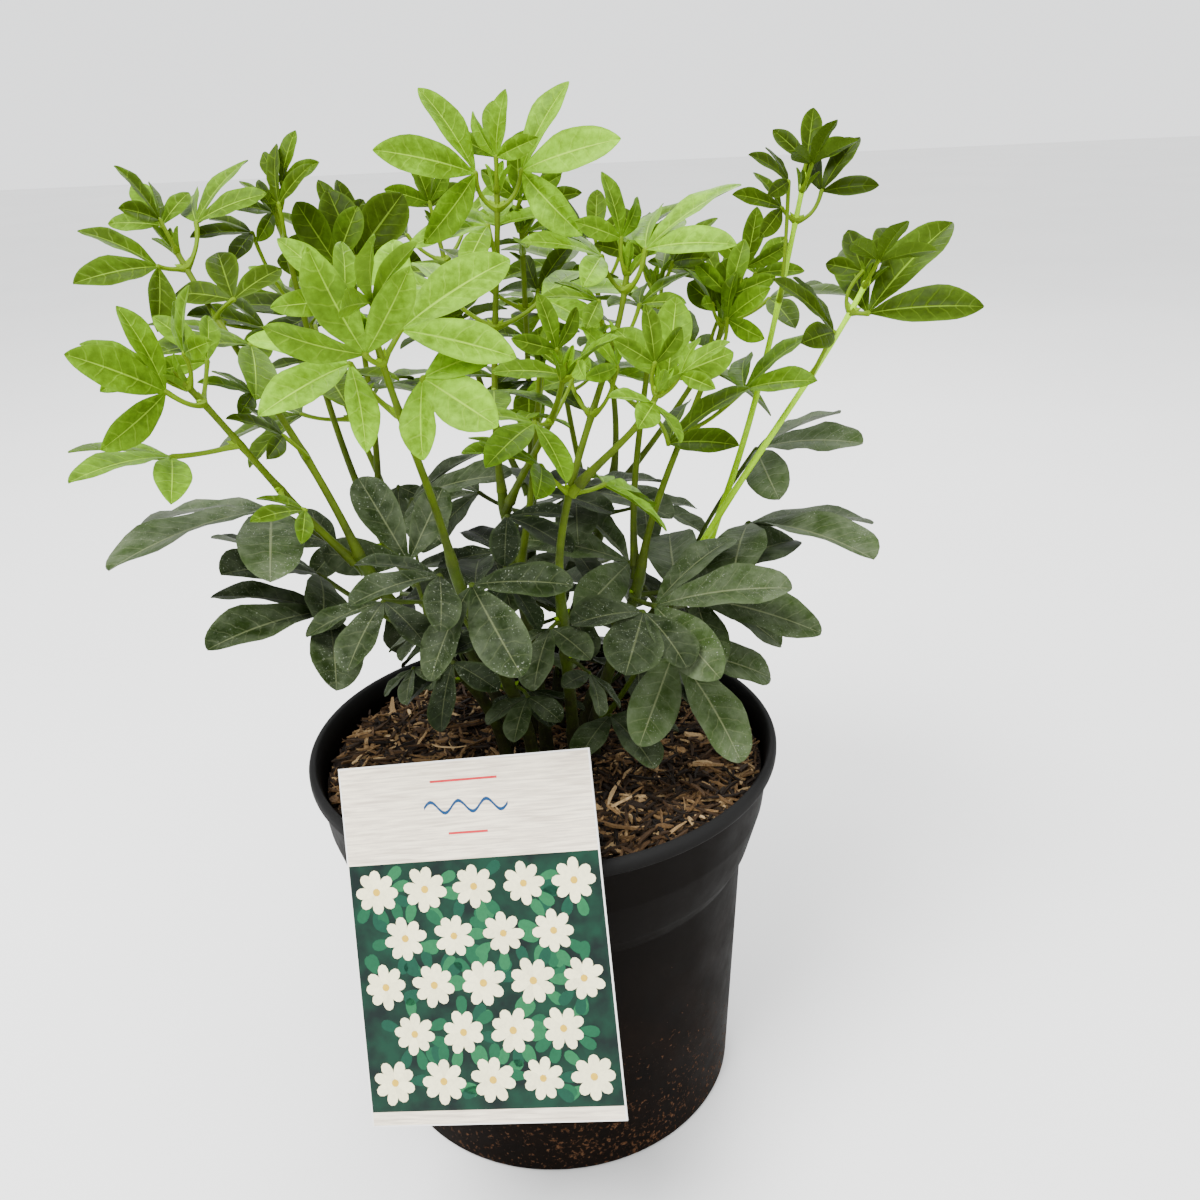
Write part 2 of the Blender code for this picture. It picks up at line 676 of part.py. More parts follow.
def card_obstacle():
    across, upward = card_frame()
    shape = Shape()
    rings = []
    for depth in (-3.0, 3.0):
        middle = CARD_CENTRE + CARD_NORMAL * depth
        half = (CARD_SIZE[0] / 2 + 2, CARD_SIZE[1] / 2 + 2)
        corners = [(-1, -1), (1, -1), (1, 1), (-1, 1)]
        rings.append(shape.ring([middle + across * half[0] * i + upward * half[1] * j
                                 for i, j in corners]))
    shape.flat(rings[0][::-1])
    shape.tube(*rings)
    shape.flat(rings[1])
    return obstacle(shape)


def make_material(name, colour, roughness):
    material = bpy.data.materials.new(name)
    material.use_nodes = True
    shader = material.node_tree.nodes["Principled BSDF"]
    shader.inputs["Base Color"].default_value = (*colour, 1)
    shader.inputs["Roughness"].default_value = roughness
    return material


def add_object(name, points, faces, material):
    mesh = bpy.data.meshes.new(name)
    mesh.from_pydata([Vector(p) * MM for p in points], [], faces)
    mesh.validate()
    mesh.materials.append(material)
    thing = bpy.data.objects.new(name, mesh)
    bpy.context.collection.objects.link(thing)
    return thing


def cut(target, cutter):
    """Cuts a closed mesh out of another by a Boolean modifier that stays on the target."""
    cutter.hide_render = True
    cutter.display_type = "WIRE"
    boolean = target.modifiers.new(cutter.name, "BOOLEAN")
    boolean.operation = "DIFFERENCE"
    boolean.solver = "EXACT"
    boolean.object = cutter


def turned_solid(profile, sides):
    """Points and faces of a profile of (radius, height) turned about the Z axis. It starts and
    ends on the axis, and runs up the outside."""
    points = [Vector((0, 0, profile[0][1]))]
    for radius, height in profile[1:-1]:
        for k in range(sides):
            a = 2 * math.pi * k / sides
            points.append(Vector((radius * math.cos(a), radius * math.sin(a), height)))
    points.append(Vector((0, 0, profile[-1][1])))
    faces = []
    rows = len(profile) - 2
    for k in range(sides):
        n = (k + 1) % sides
        faces.append((0, 1 + n, 1 + k))
        for row in range(rows - 1):
            low = 1 + row * sides
            high = low + sides
            faces.append((low + k, low + n, high + n, high + k))
        last = 1 + (rows - 1) * sides
        faces.append((last + k, last + n, len(points) - 1))
    return points, faces


def pot_profile():
    """Base, tapered wall, step, collar and rolled rim outside, then the inside back down."""
    outside = [
        (0, 0), (BASE_RADIUS - 1, 0), (BASE_RADIUS, 1.5), (81.0, 112.5), (84.5, 119),
        (89.8, 138), (92.0, 155.5), (94.4, 157), (RIM_RADIUS, 158.5), (RIM_RADIUS, 161.5),
        (94.0, POT_HEIGHT), (92.2, POT_HEIGHT), (91.4, 161),
    ]
    inside = [(radius - POT_WALL, height) for radius, height in outside[6:2:-1]]
    inside += [(BASE_RADIUS + 0.5 - POT_WALL, POT_FLOOR), (0, POT_FLOOR)]
    return outside + inside


def inner_radius(height):
    """The pot's inner radius at a height, between the turns of its profile."""
    rows = sorted((z, r) for r, z in pot_profile()[13:-1])
    for (z0, r0), (z1, r1) in zip(rows, rows[1:]):
        if z0 <= height <= z1:
            return r0 + (r1 - r0) * (height - z0) / (z1 - z0)
    return rows[-1][1]


def build_pot():
    points, faces = turned_solid(pot_profile(), POT_SIDES)
    material = make_material("black_plastic", (0.012, 0.012, 0.013), 0.45)
    pot = add_object("pot", points, faces, material)
    pot.data.shade_smooth()
    pot.data.set_sharp_from_angle(angle=math.radians(35))
    for k in range(DRAIN_HOLES):
        a = 2 * math.pi * (k + 0.5) / DRAIN_HOLES
        hole, sides = turned_solid([(0, -2), (DRAIN_RADIUS, -2), (DRAIN_RADIUS, 6), (0, 6)], 10)
        centre = Vector((math.cos(a), math.sin(a), 0)) * DRAIN_CIRCLE
        cut(pot, add_object(f"drain_{k}", [p + centre for p in hole], sides, material))


def soil_height(x, y):
    """A low uneven surface of bark: three crossed waves of different lengths."""
    wave = math.sin(x * 0.31 + 1.3 * math.sin(y * 0.17)) + math.sin(y * 0.37 + x * 0.12 + 2)
    wave += 0.7 * math.sin((x - y) * 0.61 + 1) * math.sin((x + y) * 0.53)
    return SOIL_TOP + SOIL_RELIEF * wave / 2.7


def build_soil(plan):
    top = SOIL_TOP
    side = [(0, POT_FLOOR + GAP), (inner_radius(POT_FLOOR + GAP) - GAP, POT_FLOOR + GAP)]
    for height in (60, 112.5, 119, 138, top - 2):
        side.append((inner_radius(height) - GAP, height))
    edge = side[-1][0]
    rows = [(edge * (SOIL_RINGS - k) / SOIL_RINGS, top) for k in range(SOIL_RINGS)]
    rows[0] = (edge - 0.4, top)
    points, faces = turned_solid(side + rows + [(0, top)], POT_SIDES)
    points = [Vector((p.x, p.y, soil_height(p.x, p.y))) if p.z > top - 1 else p for p in points]
    soil = add_object("soil", points, faces, make_material("bark", (0.09, 0.045, 0.025), 0.9))
    for stem in plan.stems.values():
        if stem.root:
            shape = Shape()
            low = shape.ring(stem.station(0, -ROOT_DEPTH - GAP, GAP))
            high = shape.ring(stem.station(0, 12, GAP))
            shape.flat(low[::-1])
            shape.tube(low, high)
            shape.flat(high)
            cutter = add_object(f"hole_{stem.name}", shape.points, shape.faces, None)
            cut(soil, cutter)
    cut(soil, tongue("hole_label", GAP, None))


def card_radius(middle, height):
    """How far from the pot's axis the card's middle plane lies at a height."""
    return (CARD_CENTRE - UP * height).dot(CARD_NORMAL) / middle.dot(CARD_NORMAL)


def tongue(name, grow, material):
    """The strip behind the card, over the rim and down into the soil, as one extruded bend."""
    middle = Vector((CARD_NORMAL.x, CARD_NORMAL.y, 0)).normalized()
    aside = Vector((-middle.y, middle.x, 0))
    rows = [(card_radius(middle, height) - TONGUE_SINK, height) for height in TONGUE_JOINT]
    rows += [(80.6, 170), (78.4, 158), (77.6, TONGUE_LOW)]
    thick = CARD_THICKNESS / 2 + grow
    shape = Shape()
    ring = None
    for k, (radius, height) in enumerate(rows):
        end_grow = -grow if k == len(rows) - 1 else 0
        corners = []
        for i, j in ((1, -1), (1, 1), (-1, 1), (-1, -1)):
            place = middle * (radius + i * thick) + aside * j * (TONGUE_WIDTH / 2 + grow)
            corners.append(place + UP * (height + end_grow))
        following = shape.ring(corners)
        if ring:
            shape.tube(following, ring)
        else:
            shape.flat(following)
        ring = following
    shape.flat(ring[::-1])
    return add_object(name, shape.points, shape.faces, material)


def build_label():
    across, upward = card_frame()
    material = make_material("card", (0.75, 0.72, 0.62), 0.35)
    shape = Shape()
    rings = []
    for depth in (-CARD_THICKNESS / 2, CARD_THICKNESS / 2):
        corners = []
        for i, j in ((-1, -1), (1, -1), (1, 1), (-1, 1)):
            flat = across * (i * CARD_SIZE[0] / 2) + upward * (j * CARD_SIZE[1] / 2)
            corners.append(CARD_CENTRE + flat + CARD_NORMAL * depth)
        rings.append(shape.ring(corners))
    shape.flat(rings[0][::-1])
    shape.tube(*rings)
    shape.flat(rings[1])
    label = add_object("label", shape.points, shape.faces, material)
    strip = tongue("label_tongue", 0, material)
    strip.hide_render = True
    strip.display_type = "WIRE"
    union = label.modifiers.new("tongue", "BOOLEAN")
    union.operation = "UNION"
    union.solver = "EXACT"
    union.object = strip


def build_plant(plan):
    old = make_material("old_leaf", (0.035, 0.075, 0.03), 0.5)
    new = make_material("new_leaf", (0.16, 0.34, 0.04), 0.45)
    for stem in plan.stems.values():
        is_branch = bool(stem.root)
        shape = stem.build(bud=not is_branch)
        add_object(stem.name, shape.points, shape.faces, old if is_branch else new)


def main():
    for thing in list(bpy.data.objects):
        bpy.data.objects.remove(thing, do_unlink=True)
    plan = Plan()
    build_pot()
    build_soil(plan)
    build_label()
    build_plant(plan)
    return plan


main()
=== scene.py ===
"""Looks of the potted mexican orange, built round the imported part.

The plant is planned in millimetres by the same rules as the part's own solids, so every fine
branch, shoot and leaf lies where its solid lies. MM turns the plan into the frame's metres.
"""

import math
import random
from collections import namedtuple
from itertools import product

import bpy
import numpy as np
from mathutils import Matrix, Vector
from mathutils.bvhtree import BVHTree


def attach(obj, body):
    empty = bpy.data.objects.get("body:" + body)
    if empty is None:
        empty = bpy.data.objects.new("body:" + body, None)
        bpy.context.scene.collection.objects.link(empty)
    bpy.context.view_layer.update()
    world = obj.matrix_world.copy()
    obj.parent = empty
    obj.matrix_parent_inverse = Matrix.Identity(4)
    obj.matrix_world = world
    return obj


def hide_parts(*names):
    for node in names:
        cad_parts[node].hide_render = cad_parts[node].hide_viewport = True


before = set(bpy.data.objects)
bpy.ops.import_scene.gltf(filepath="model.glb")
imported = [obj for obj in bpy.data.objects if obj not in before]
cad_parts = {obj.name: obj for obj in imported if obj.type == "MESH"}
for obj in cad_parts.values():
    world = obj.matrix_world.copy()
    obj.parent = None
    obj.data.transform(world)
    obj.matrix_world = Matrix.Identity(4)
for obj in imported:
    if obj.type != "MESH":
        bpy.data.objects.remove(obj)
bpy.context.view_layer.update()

MM = 0.001
GAP = 0.3
UP = Vector((0, 0, 1))
CIRCLE = 2 * math.pi

# Pot, and the room that leaves keep over the soil and round the rim
POT_HEIGHT = 163.0
RIM_RADIUS = 95.0
BASE_RADIUS = 75.0
POT_WALL = 1.8
POT_FLOOR = 2.6
POT_SEGMENTS = 160
EDGE_RADIUS = 0.9
DRAIN_HOLES = 6
DRAIN_RADIUS = 5.0
DRAIN_CIRCLE = 54.0
ROOM_OVER_SOIL = 4.0
ROOM_OVER_RIM = 2.5
RIM_BAND = (RIM_RADIUS - 8, RIM_RADIUS + 3)

# Soil, and the slivers of bark on it
SOIL_TOP = 151.0
SOIL_RELIEF = 1.5
SOIL_RINGS = 60
SOIL_SEGMENTS = 150
CHIP_TRIES = 3600
CHIP_ROWS = 5
CHIP_CIRCLE = 87.5
CHIP_EDGE = 89.0
CHIP_LENGTHS = (4.6, 32.0)
CHIP_SHADES = (0.10, 0.25, 0.38, 0.46, 0.54, 0.64, 0.76)
BIG_SHARE = 0.05
PALE_SHARE = 0.07
STEM_ROOM = 4.2

# Label: the card, the tongue behind it, and the print, in millimetres from the card's middle
CARD_SIZE = (90.0, 124.0)
CARD_THICKNESS = 0.8
CARD_CENTRE = Vector((-26.3, -101.35, 141.4))
CARD_NORMAL = Vector((-0.247, -0.880, 0.406)).normalized()
CARD_ACROSS = Vector((87.1, -18.7, 12.5)).normalized()
CARD_MARGIN = 2.0
CARD_DEPTH = 3.0
TONGUE_WIDTH = 22.0
TONGUE_JOINT = (193.0, 182.0)
TONGUE_SINK = 0.3
TONGUE_BENDS = [(80.6, 170), (78.4, 158), (77.6, 114)]
PRINT_EDGE = 0.5
BAND_FOOT = 28.0
STRIP_TOP = -57.0
FLOWER_ROWS = 5
FLOWER_STEP = (17.6, 16.4)
FLOWER_START = 9.5
FLOWER_LEAVES = 7
PETALS = 8
PRINT_GREENS = ((0.006, 0.07, 0.03), (0.012, 0.11, 0.04), (0.004, 0.045, 0.025))
PRINT_YELLOW = (0.60, 0.38, 0.03)
PRINT_BLUE = (0.006, 0.045, 0.13)
PRINT_RED = (0.50, 0.018, 0.03)
PRINT_FINISH = {"Roughness": 0.38, "Specular_IOR_Level": 0.2}

# Stems. The pulls set how far a stem keeps to its first and last direction.
BRANCH_RADII = (2.7, 2.1)
SHOOT_RADII = (1.5, 1.0)
SQUARE_SHARE = 0.85
START_PULL = 0.36
END_PULL = 0.30
BRANCH_LIFT = 0.5
ARM_LENGTH = 5.0
ARM_HALF = 1.3

# Leaves
HUB_RADIUS = 1.15
HUB_RISE = 0.6
HUB_ANGLES = (120, 28, -28, -120)
RIB_HALF = 0.4
STALK_HALF = 0.8
STALK_SHARE = 0.5
STALK_SKIP = 3.5
KNEE_FROM = 11.0
KNEE_OUT = 5.5
KNEE_ALONG = 0.2
SIDE_ANGLE = math.radians(56)
SIDE_SCALE = 0.86
OLD_BREADTH = 0.46
NEW_BREADTH = 0.40
BLADE_FOLD = 0.30
BLADE_DROOP = 0.45
BLADE_STEPS = (0.34, 0.74)
SMALL_BLADE_STEPS = (0.52,)
SMALL_LEAF = 24.0
CLEARANCE = 0.5
LIGHT = Vector((0.01, -0.36, 0.60))

# How far a blade hangs below its stalk's rise, in degrees: old, new, and new near a shoot's tip
OLD_DROP = 30
NEW_DROP = 16
TIP_DROP = 2
TIP_RISE = 60

# What counts against a place for a stalk: little turn from its stem, leaning back, and passing
# through the stem. No stalk grows where the sum reaches the limit.
TURN_COST = 15
BACK_COST = 25
THROUGH_COST = 60
COST_LIMIT = 90

# Attitudes that a leaf tries, and what making it smaller costs beside turning it a degree
YAWS = (0, 14, -14, 28, -28, 42, -42, 56, -56)
PITCHES = (0, 12, -12, 24, -24, 36)
SCALES = (1.0, 0.85, 0.7)
SCALE_COST = 80
SMALL_TURNS = (0, 8, -8, 16, -16)

# Camera, worked out from the pot's rim in the photograph
CAMERA_PLACE = (0.0, -0.4347, 0.4101)
CAMERA_RIGHT = (0.9965, -0.075, -0.0379)
CAMERA_UP = (0.0647, 0.3958, 0.9161)
CAMERA_BACK = (-0.0537, -0.9153, 0.3992)
CAMERA_LENS = 36.2
CAMERA_SENSOR = 36

# Studio: each light's place, target, size and power
LIGHTS = {
    "key": ((-0.5, -0.6, 1.5), (0, 0, 0.2), 0.8, 52),
    "fill": ((0.9, -0.9, 0.9), (0, 0, 0.2), 1.0, 6),
    "back": ((0.2, 1.2, 1.3), (0, 0, 0.25), 0.9, 18),
}
SKY_COLOUR = (0.98, 0.99, 1.0, 1)
SKY_STRENGTH = 1.9
FLOOR_SIZE = 12

# Fine leaflets: rings along and points across them, outline, thickness, rib and groove
BLADE_ROWS = 17
BUD_ROWS = 9
BLADE_COLUMNS = 9
BLADE_BASE = 1.1
OLD_TIP = 0.58
NEW_TIP = 0.80
BLADE_TWIST = 0.14
BLADE_NECK = 0.35
BLADE_THICKNESS = 0.42
EDGE_THINNING = 0.72
RIB_DEPTH = 0.55
RIB_GROOVE = 0.12
VEIN_SPACING = 5.2

# Fine stems and stalks: sides, slots, and how thick they are along their length
STEM_SIDES = 10
STALK_SIDES = 7
BLADE_SLOT = 0
STEM_SLOT = 1
KNEE_SHARE = 0.9
STALK_TAPER = np.array([2.0, 1.7, 1.25, 1.0, 0.95, 0.92, 0.92, 0.95, 1.0, 1.1])
HUB_TAPER = np.array([0.35, 1.05, 1.3, 1.0, 0.3])
BUD_TAPER = np.array([0.16, 0.17, 0.15, 0.11, 0.07, 0.02])
AXIL_BUD_RADII = (0.7, 0.95, 0.8, 0.5, 0.12)
ARM_RADII = (2.3, 2.1, 1.8, 1.65, 1.55, 1.5)
BUD_SIZE = 8.5
BARE_BUD_SIZE = 7.0

# How light the leaves of each stem are, from dark 0 to light 1: partly how fresh they are,
# partly painted light and shade for where each stem stands in the light.
LIGHT_AND_FRESHNESS = {
    "shoot_front": 0.77, "shoot_far_left": 0.34, "shoot_left_front": 0.52, "shoot_tall": 0.64,
    "shoot_tall_side": 0.62, "shoot_right": 0.50, "shoot_far_right": 0.14,
    "shoot_right_back": 0.06, "shoot_top": 0.72, "shoot_centre": 0.54, "shoot_centre_left": 0.50,
    "shoot_top_back": 0.36, "shoot_left_top": 0.22, "shoot_left_middle": 0.26,
    "branch_right": 0.88, "branch_back_right": 0.94, "branch_front_right": 0.44,
    "branch_middle": 0.12, "branch_front_left": 0.22, "branch_left": 0.52,
}
LIGHT_AND_FRESHNESS_BEHIND = 0.40
OLD_LIGHT_AND_FRESHNESS = 0.5

# How pale and yellow the stems of the two shoots at the far right are.
PALE_STEMS = {"shoot_far_right": 1.0, "shoot_right_back": 0.8}

# Leaf and stem colours, darkest first
OLD_BLADES = [(0.1, (0.0035, 0.008, 0.0008)), (0.5, (0.0115, 0.0215, 0.0035)),
              (0.9, (0.030, 0.052, 0.012))]
NEW_BLADES = [(0.0, (0.015, 0.028, 0.0)), (0.3, (0.030, 0.058, 0.001)),
              (0.5, (0.048, 0.100, 0.002)), (0.7, (0.084, 0.180, 0.003)),
              (1.0, (0.19, 0.41, 0.008))]
# Film on old leaves: partly grey-green dust, partly painted sheen on the lighter leaves.
DUST_AND_SHEEN_FILM = (0.145, 0.170, 0.108)
DUST_SPECK = (0.20, 0.22, 0.17)
PALE_STEM = (0.36, 0.68, 0.0)
STEM_PORE = (0.09, 0.10, 0.02)


class Shape:
    """Points and triangles of one closed test solid. A ring is a list of four point numbers,
    counter-clockwise as seen from the end that the stem or leaf grows towards."""

    def __init__(self):
        self.points = []
        self.faces = []

    def ring(self, points):
        first = len(self.points)
        self.points += points
        return list(range(first, first + len(points)))

    def tube(self, low, high):
        for i in range(4):
            j = (i + 1) % 4
            self.faces += [(low[i], low[j], high[j]), (low[i], high[j], high[i])]

    def extend(self, ring, corners):
        """A tube from a ring to new corners, in the same order."""
        following = self.ring(corners)
        self.tube(ring, following)
        return following

    def join(self, ring, ends):
        """A tube from a ring, rotated so that it twists least, to the points at its far end."""
        middle = sum((self.points[i] for i in ring), Vector()) / 4
        goal = sum((self.points[i] for i in ends), Vector()) / 4

        def twist(shift):
            pairs = zip(ring[shift:] + ring[:shift], ends)
            return sum(((self.points[i] - middle).normalized()
                        - (self.points[j] - goal).normalized()).length for i, j in pairs)

        shift = min(range(4), key=twist)
        self.tube(ring[shift:] + ring[:shift], ends)
        return ends

    def blade(self, low, high):
        """Skin between two rings (left edge, upper rib, right edge, lower rib), split alike above
        and below so that a thin blade never crosses itself."""
        l0, t0, r0, b0 = low
        l1, t1, r1, b1 = high
        self.faces += [(l0, t0, l1), (t0, t1, l1), (t0, r0, r1), (t0, r1, t1)]
        self.faces += [(r0, b0, r1), (b0, b1, r1), (b0, l0, l1), (b0, l1, b1)]

    def tip(self, ring, place):
        self.points.append(place)
        last = len(self.points) - 1
        self.faces += [(ring[i], ring[(i + 1) % 4], last) for i in range(4)]

    def flat(self, ring):
        a, b, c, d = ring
        self.faces += [(a, b, c), (a, c, d)]


class Obstacle:
    """A solid that leaves stay clear of, with its box for a quick first test."""

    def __init__(self, shape):
        self.low = [min(p[i] for p in shape.points) for i in range(3)]
        self.high = [max(p[i] for p in shape.points) for i in range(3)]
        self.tree = BVHTree.FromPolygons(shape.points, shape.faces)

    def hits(self, other):
        for i in range(3):
            if self.low[i] > other.high[i] or self.high[i] < other.low[i]:
                return False
        return bool(self.tree.overlap(other.tree))


def square_to(vector, axis):
    """The part of a vector square to an axis, at unit length."""
    return (vector - axis * vector.dot(axis)).normalized()


def turned(vector, axis, angle):
    return Matrix.Rotation(angle, 3, axis) @ vector


def square_ring(place, heading, half):
    """Corners of a square across a heading: lower left, lower right, upper right, upper left,
    as seen from its outer side."""
    upward = Vector((1, 0, 0)) if abs(heading.dot(UP)) > 0.98 else UP
    w = square_to(upward, heading)
    r = w.cross(heading)
    return [place + (r * i + w * j) * half for i, j in ((-1, -1), (1, -1), (1, 1), (-1, 1))]


class Leaf:
    """Three leaflets on a stalk. forward is the middle leaflet's direction, normal its face and
    breadth the width of a leaflet for its length."""

    def __init__(self, foot, out, hub, forward, normal, length, breadth):
        self.foot = foot
        self.out = out
        self.hub = hub
        self.knee = None
        self.forward = forward
        self.normal = normal
        self.length = length
        self.breadth = breadth

    def bend_stalk(self):
        """Lets a long stalk leave the stem square to it and then turn to its hub."""
        stalk = self.hub - self.foot
        if stalk.length > KNEE_FROM:
            self.knee = self.foot + self.out * KNEE_OUT + stalk * KNEE_ALONG

    def aim_chord(self):
        """Lifts the blade and lengthens it, so that its arch ends where forward pointed."""
        bend = BLADE_DROOP / 2
        side = self.forward.cross(self.normal)
        self.forward = turned(self.forward, side, bend)
        self.normal = turned(self.normal, side, bend)
        self.length *= bend / math.sin(bend)

    def hub_points(self):
        left = self.normal.cross(self.forward)
        radius = HUB_RADIUS + CLEARANCE

        def around(degrees):
            a = math.radians(degrees)
            return self.hub + (self.forward * math.cos(a) + left * math.sin(a)) * radius

        rise = self.normal * (HUB_RISE + CLEARANCE)
        return [self.hub - rise, self.hub + rise] + [around(a) for a in HUB_ANGLES]

    def half_width(self, t, length):
        full = self.breadth * length
        return 0.5 * full * math.sin(math.pi * t ** 1.25) ** 0.9 + CLEARANCE

    def rib(self, along, length, t):
        """A point of a leaflet's arched middle rib and the direction that its face looks in."""
        bend = BLADE_DROOP * t
        drop = (1 - math.cos(bend)) / BLADE_DROOP
        middle = self.hub + (along * math.sin(bend) / BLADE_DROOP - self.normal * drop) * length
        return middle, self.normal * math.cos(bend) + along * math.sin(bend)

    def leaflet(self, shape, start, angle, length):
        along = turned(self.forward, self.normal, angle)
        side = along.cross(self.normal)
        ring = start
        for t in BLADE_STEPS if self.length > SMALL_LEAF else SMALL_BLADE_STEPS:
            middle, face = self.rib(along, length, t)
            wide = self.half_width(t, length)
            rise = face * wide * math.sin(BLADE_FOLD)
            reach = side * wide * math.cos(BLADE_FOLD)
            rib = face * (RIB_HALF + CLEARANCE)
            points = [middle - reach + rise, middle + rib, middle + reach + rise, middle - rib]
            following = shape.ring(points)
            shape.blade(ring, following)
            ring = following
        shape.tip(ring, self.rib(along, length + CLEARANCE, 1)[0])

    def test_shape(self):
        """A slightly fat solid of the leaf, which starts a few millimetres off the stem."""
        shape = Shape()
        stalk = self.hub - self.foot
        half = STALK_HALF + CLEARANCE
        heading = self.out if self.knee else stalk.normalized()
        place = self.foot + heading * min(STALK_SKIP, stalk.length * 0.7)
        ring = shape.ring(square_ring(place, heading, half))
        shape.flat(ring[::-1])
        if self.knee:
            heading = ((self.hub - self.knee).normalized() + self.out).normalized()
            ring = shape.join(ring, shape.ring(square_ring(self.knee, heading, half)))
        low, top, a, b, c, d = shape.ring(self.hub_points())
        shape.join(ring, [low, a, top, d])
        self.leaflet(shape, [a, top, b, low], SIDE_ANGLE, self.length * SIDE_SCALE)
        self.leaflet(shape, [b, top, c, low], 0.0, self.length)
        self.leaflet(shape, [c, top, d, low], -SIDE_ANGLE, self.length * SIDE_SCALE)
        return shape


# A short side arm of a stem, which the next shoot stands on: its end and its direction.
Arm = namedtuple("Arm", "end heading")


class Stem:
    """A square stem on a cubic curve. nodes maps a place along it to what grows on its sides."""

    def __init__(self, name, start, heading, end, finish, radii, compass):
        reach = (end - start).length
        after_start = start + heading * reach * START_PULL
        before_end = end - finish * reach * END_PULL
        self.name = name
        self.old = name in BRANCHES
        self.bend = (start, after_start, before_end, end)
        self.radii = radii
        self.compass = math.radians(compass)
        self.nodes = {}

    def length(self):
        return (self.bend[3] - self.bend[0]).length

    def place(self, t):
        a, b, c, d = self.bend
        s = 1 - t
        return a * s ** 3 + b * (3 * s * s * t) + c * (3 * s * t * t) + d * t ** 3

    def heading(self, t):
        a, b, c, d = self.bend
        s = 1 - t
        return ((b - a) * (s * s) + (c - b) * (2 * s * t) + (d - c) * (t * t)).normalized()

    def half(self, t):
        return SQUARE_SHARE * (self.radii[0] + (self.radii[1] - self.radii[0]) * t)

    def sides(self, t):
        """The two side directions at t, carried along the curve from its start."""
        aim = Vector((math.cos(self.compass), math.sin(self.compass), 0.001))
        heading = self.heading(0)
        u = square_to(aim, heading)
        steps = 12
        for i in range(1, steps + 1):
            heading = self.heading(t * i / steps)
            u = square_to(u, heading)
        return u, heading.cross(u)

    def outward(self, t):
        """Outward directions of the four sides, in the order of the ring's corners."""
        u, v = self.sides(t)
        return [v, -u, -v, u]

    def station(self, t):
        u, v = self.sides(t)
        middle = self.place(t)
        half = self.half(t) + CLEARANCE
        return [middle + (u * i + v * j) * half for i, j in ((1, 1), (-1, 1), (-1, -1), (1, -1))]

    def bare(self):
        """The slightly fat stem with its arms, before it has leaves."""
        shape = Shape()
        steps = 10
        ring = shape.ring(self.station(0))
        for i in range(1, steps + 1):
            ring = shape.extend(ring, self.station(i / steps))
        half = ARM_HALF + CLEARANCE
        for arms in self.nodes.values():
            for arm in arms.values():
                foot = arm.end - arm.heading * ARM_LENGTH
                low = shape.ring(square_ring(foot, arm.heading, half))
                shape.extend(low, square_ring(arm.end, arm.heading, half))
        return Obstacle(shape)


# Branches: foot on the soil, far end, compass of the first pair of leaves, and the length of
# their middle leaflets.
BRANCHES = {
    "branch_left": ((-15, -9), (-60, -40, 262), 150, 46),
    "branch_front_left": ((-4, -19), (-27, -55, 262), 80, 46),
    "branch_front_right": ((12, -17), (9, -44, 246), 130, 48),
    "branch_right": ((20, -3), (42, -4, 236), 130, 50),
    "branch_back_right": ((17, 13), (73, 22, 236), 50, 48),
    "branch_back_middle": ((6, 26), (38, 74, 248), 60, 46),
    "branch_back": ((-5, 18), (2, 58, 255), 80, 46),
    "branch_back_left": ((-14, 8), (-66, 38, 252), 120, 46),
    "branch_middle": ((1, -1), (-10, 8, 266), 130, 44),
}
BRANCH_PLACES = (0.20, 0.42, 0.64, 0.84)
BRANCH_RISES = (14, 10, 16, 24)

# Shoots: what they stand on, where on it (1 is its end), the end, lift of the end towards
# upright, compass of the first pair, how many pairs, and the length of the largest leaflets.
SHOOTS = {
    "shoot_far_left": ("branch_left", 1.0, (-115, 3, 360), 0.1, 110, 5, 36),
    "shoot_left_front": ("branch_left", 0.93, (-102, -60, 327), 0.0, 80, 4, 36),
    "shoot_front": ("branch_front_left", 1.0, (-39, -98, 346), 0.4, 60, 4, 40),
    "shoot_tall": ("branch_front_right", 1.0, (39, -9, 347), 1.0, 40, 5, 38),
    "shoot_tall_side": ("shoot_tall", 0.30, (44, -50, 314), 0.8, 70, 2, 32),
    "shoot_right": ("branch_right", 1.0, (76, 13, 323), 0.4, 30, 3, 36),
    "shoot_far_right": ("branch_back_right", 0.80, (129, 12, 335), 0.2, 160, 4, 40),
    "shoot_right_back": ("branch_back_right", 1.0, (111, 40, 367), 0.3, 0, 4, 36),
    "shoot_middle_right": ("branch_right", 0.93, (52, 22, 336), 0.8, 150, 3, 38),
    "shoot_top": ("branch_middle", 1.0, (-4, 15, 374), 0.3, 90, 5, 38),
    "shoot_centre": ("branch_middle", 0.93, (14, -42, 319), 0.6, 60, 2, 32),
    "shoot_centre_left": ("branch_middle", 0.70, (7, -8, 316), 0.6, 80, 2, 30),
    "shoot_top_back": ("branch_back", 1.0, (4, 43, 357), 0.6, 90, 4, 36),
    "shoot_left_top": ("branch_back_left", 1.0, (-84, 30, 369), 0.3, 110, 4, 38),
    "shoot_left_middle": ("branch_back_left", 0.93, (-63, 56, 346), 0.4, 90, 4, 38),
    "shoot_back_left": ("branch_back_left", 0.76, (-88, 92, 318), 0.3, 170, 3, 42),
    "shoot_back": ("branch_back", 0.93, (-31, 96, 352), 0.4, 100, 3, 40),
    "shoot_back_middle": ("branch_back_middle", 1.0, (36, 112, 332), 0.5, 60, 3, 42),
    "shoot_back_right": ("branch_back_middle", 0.93, (96, 88, 320), 0.4, 40, 3, 42),
    "shoot_back_high": ("branch_back_middle", 0.76, (16, 128, 318), 0.4, 40, 3, 42),
}

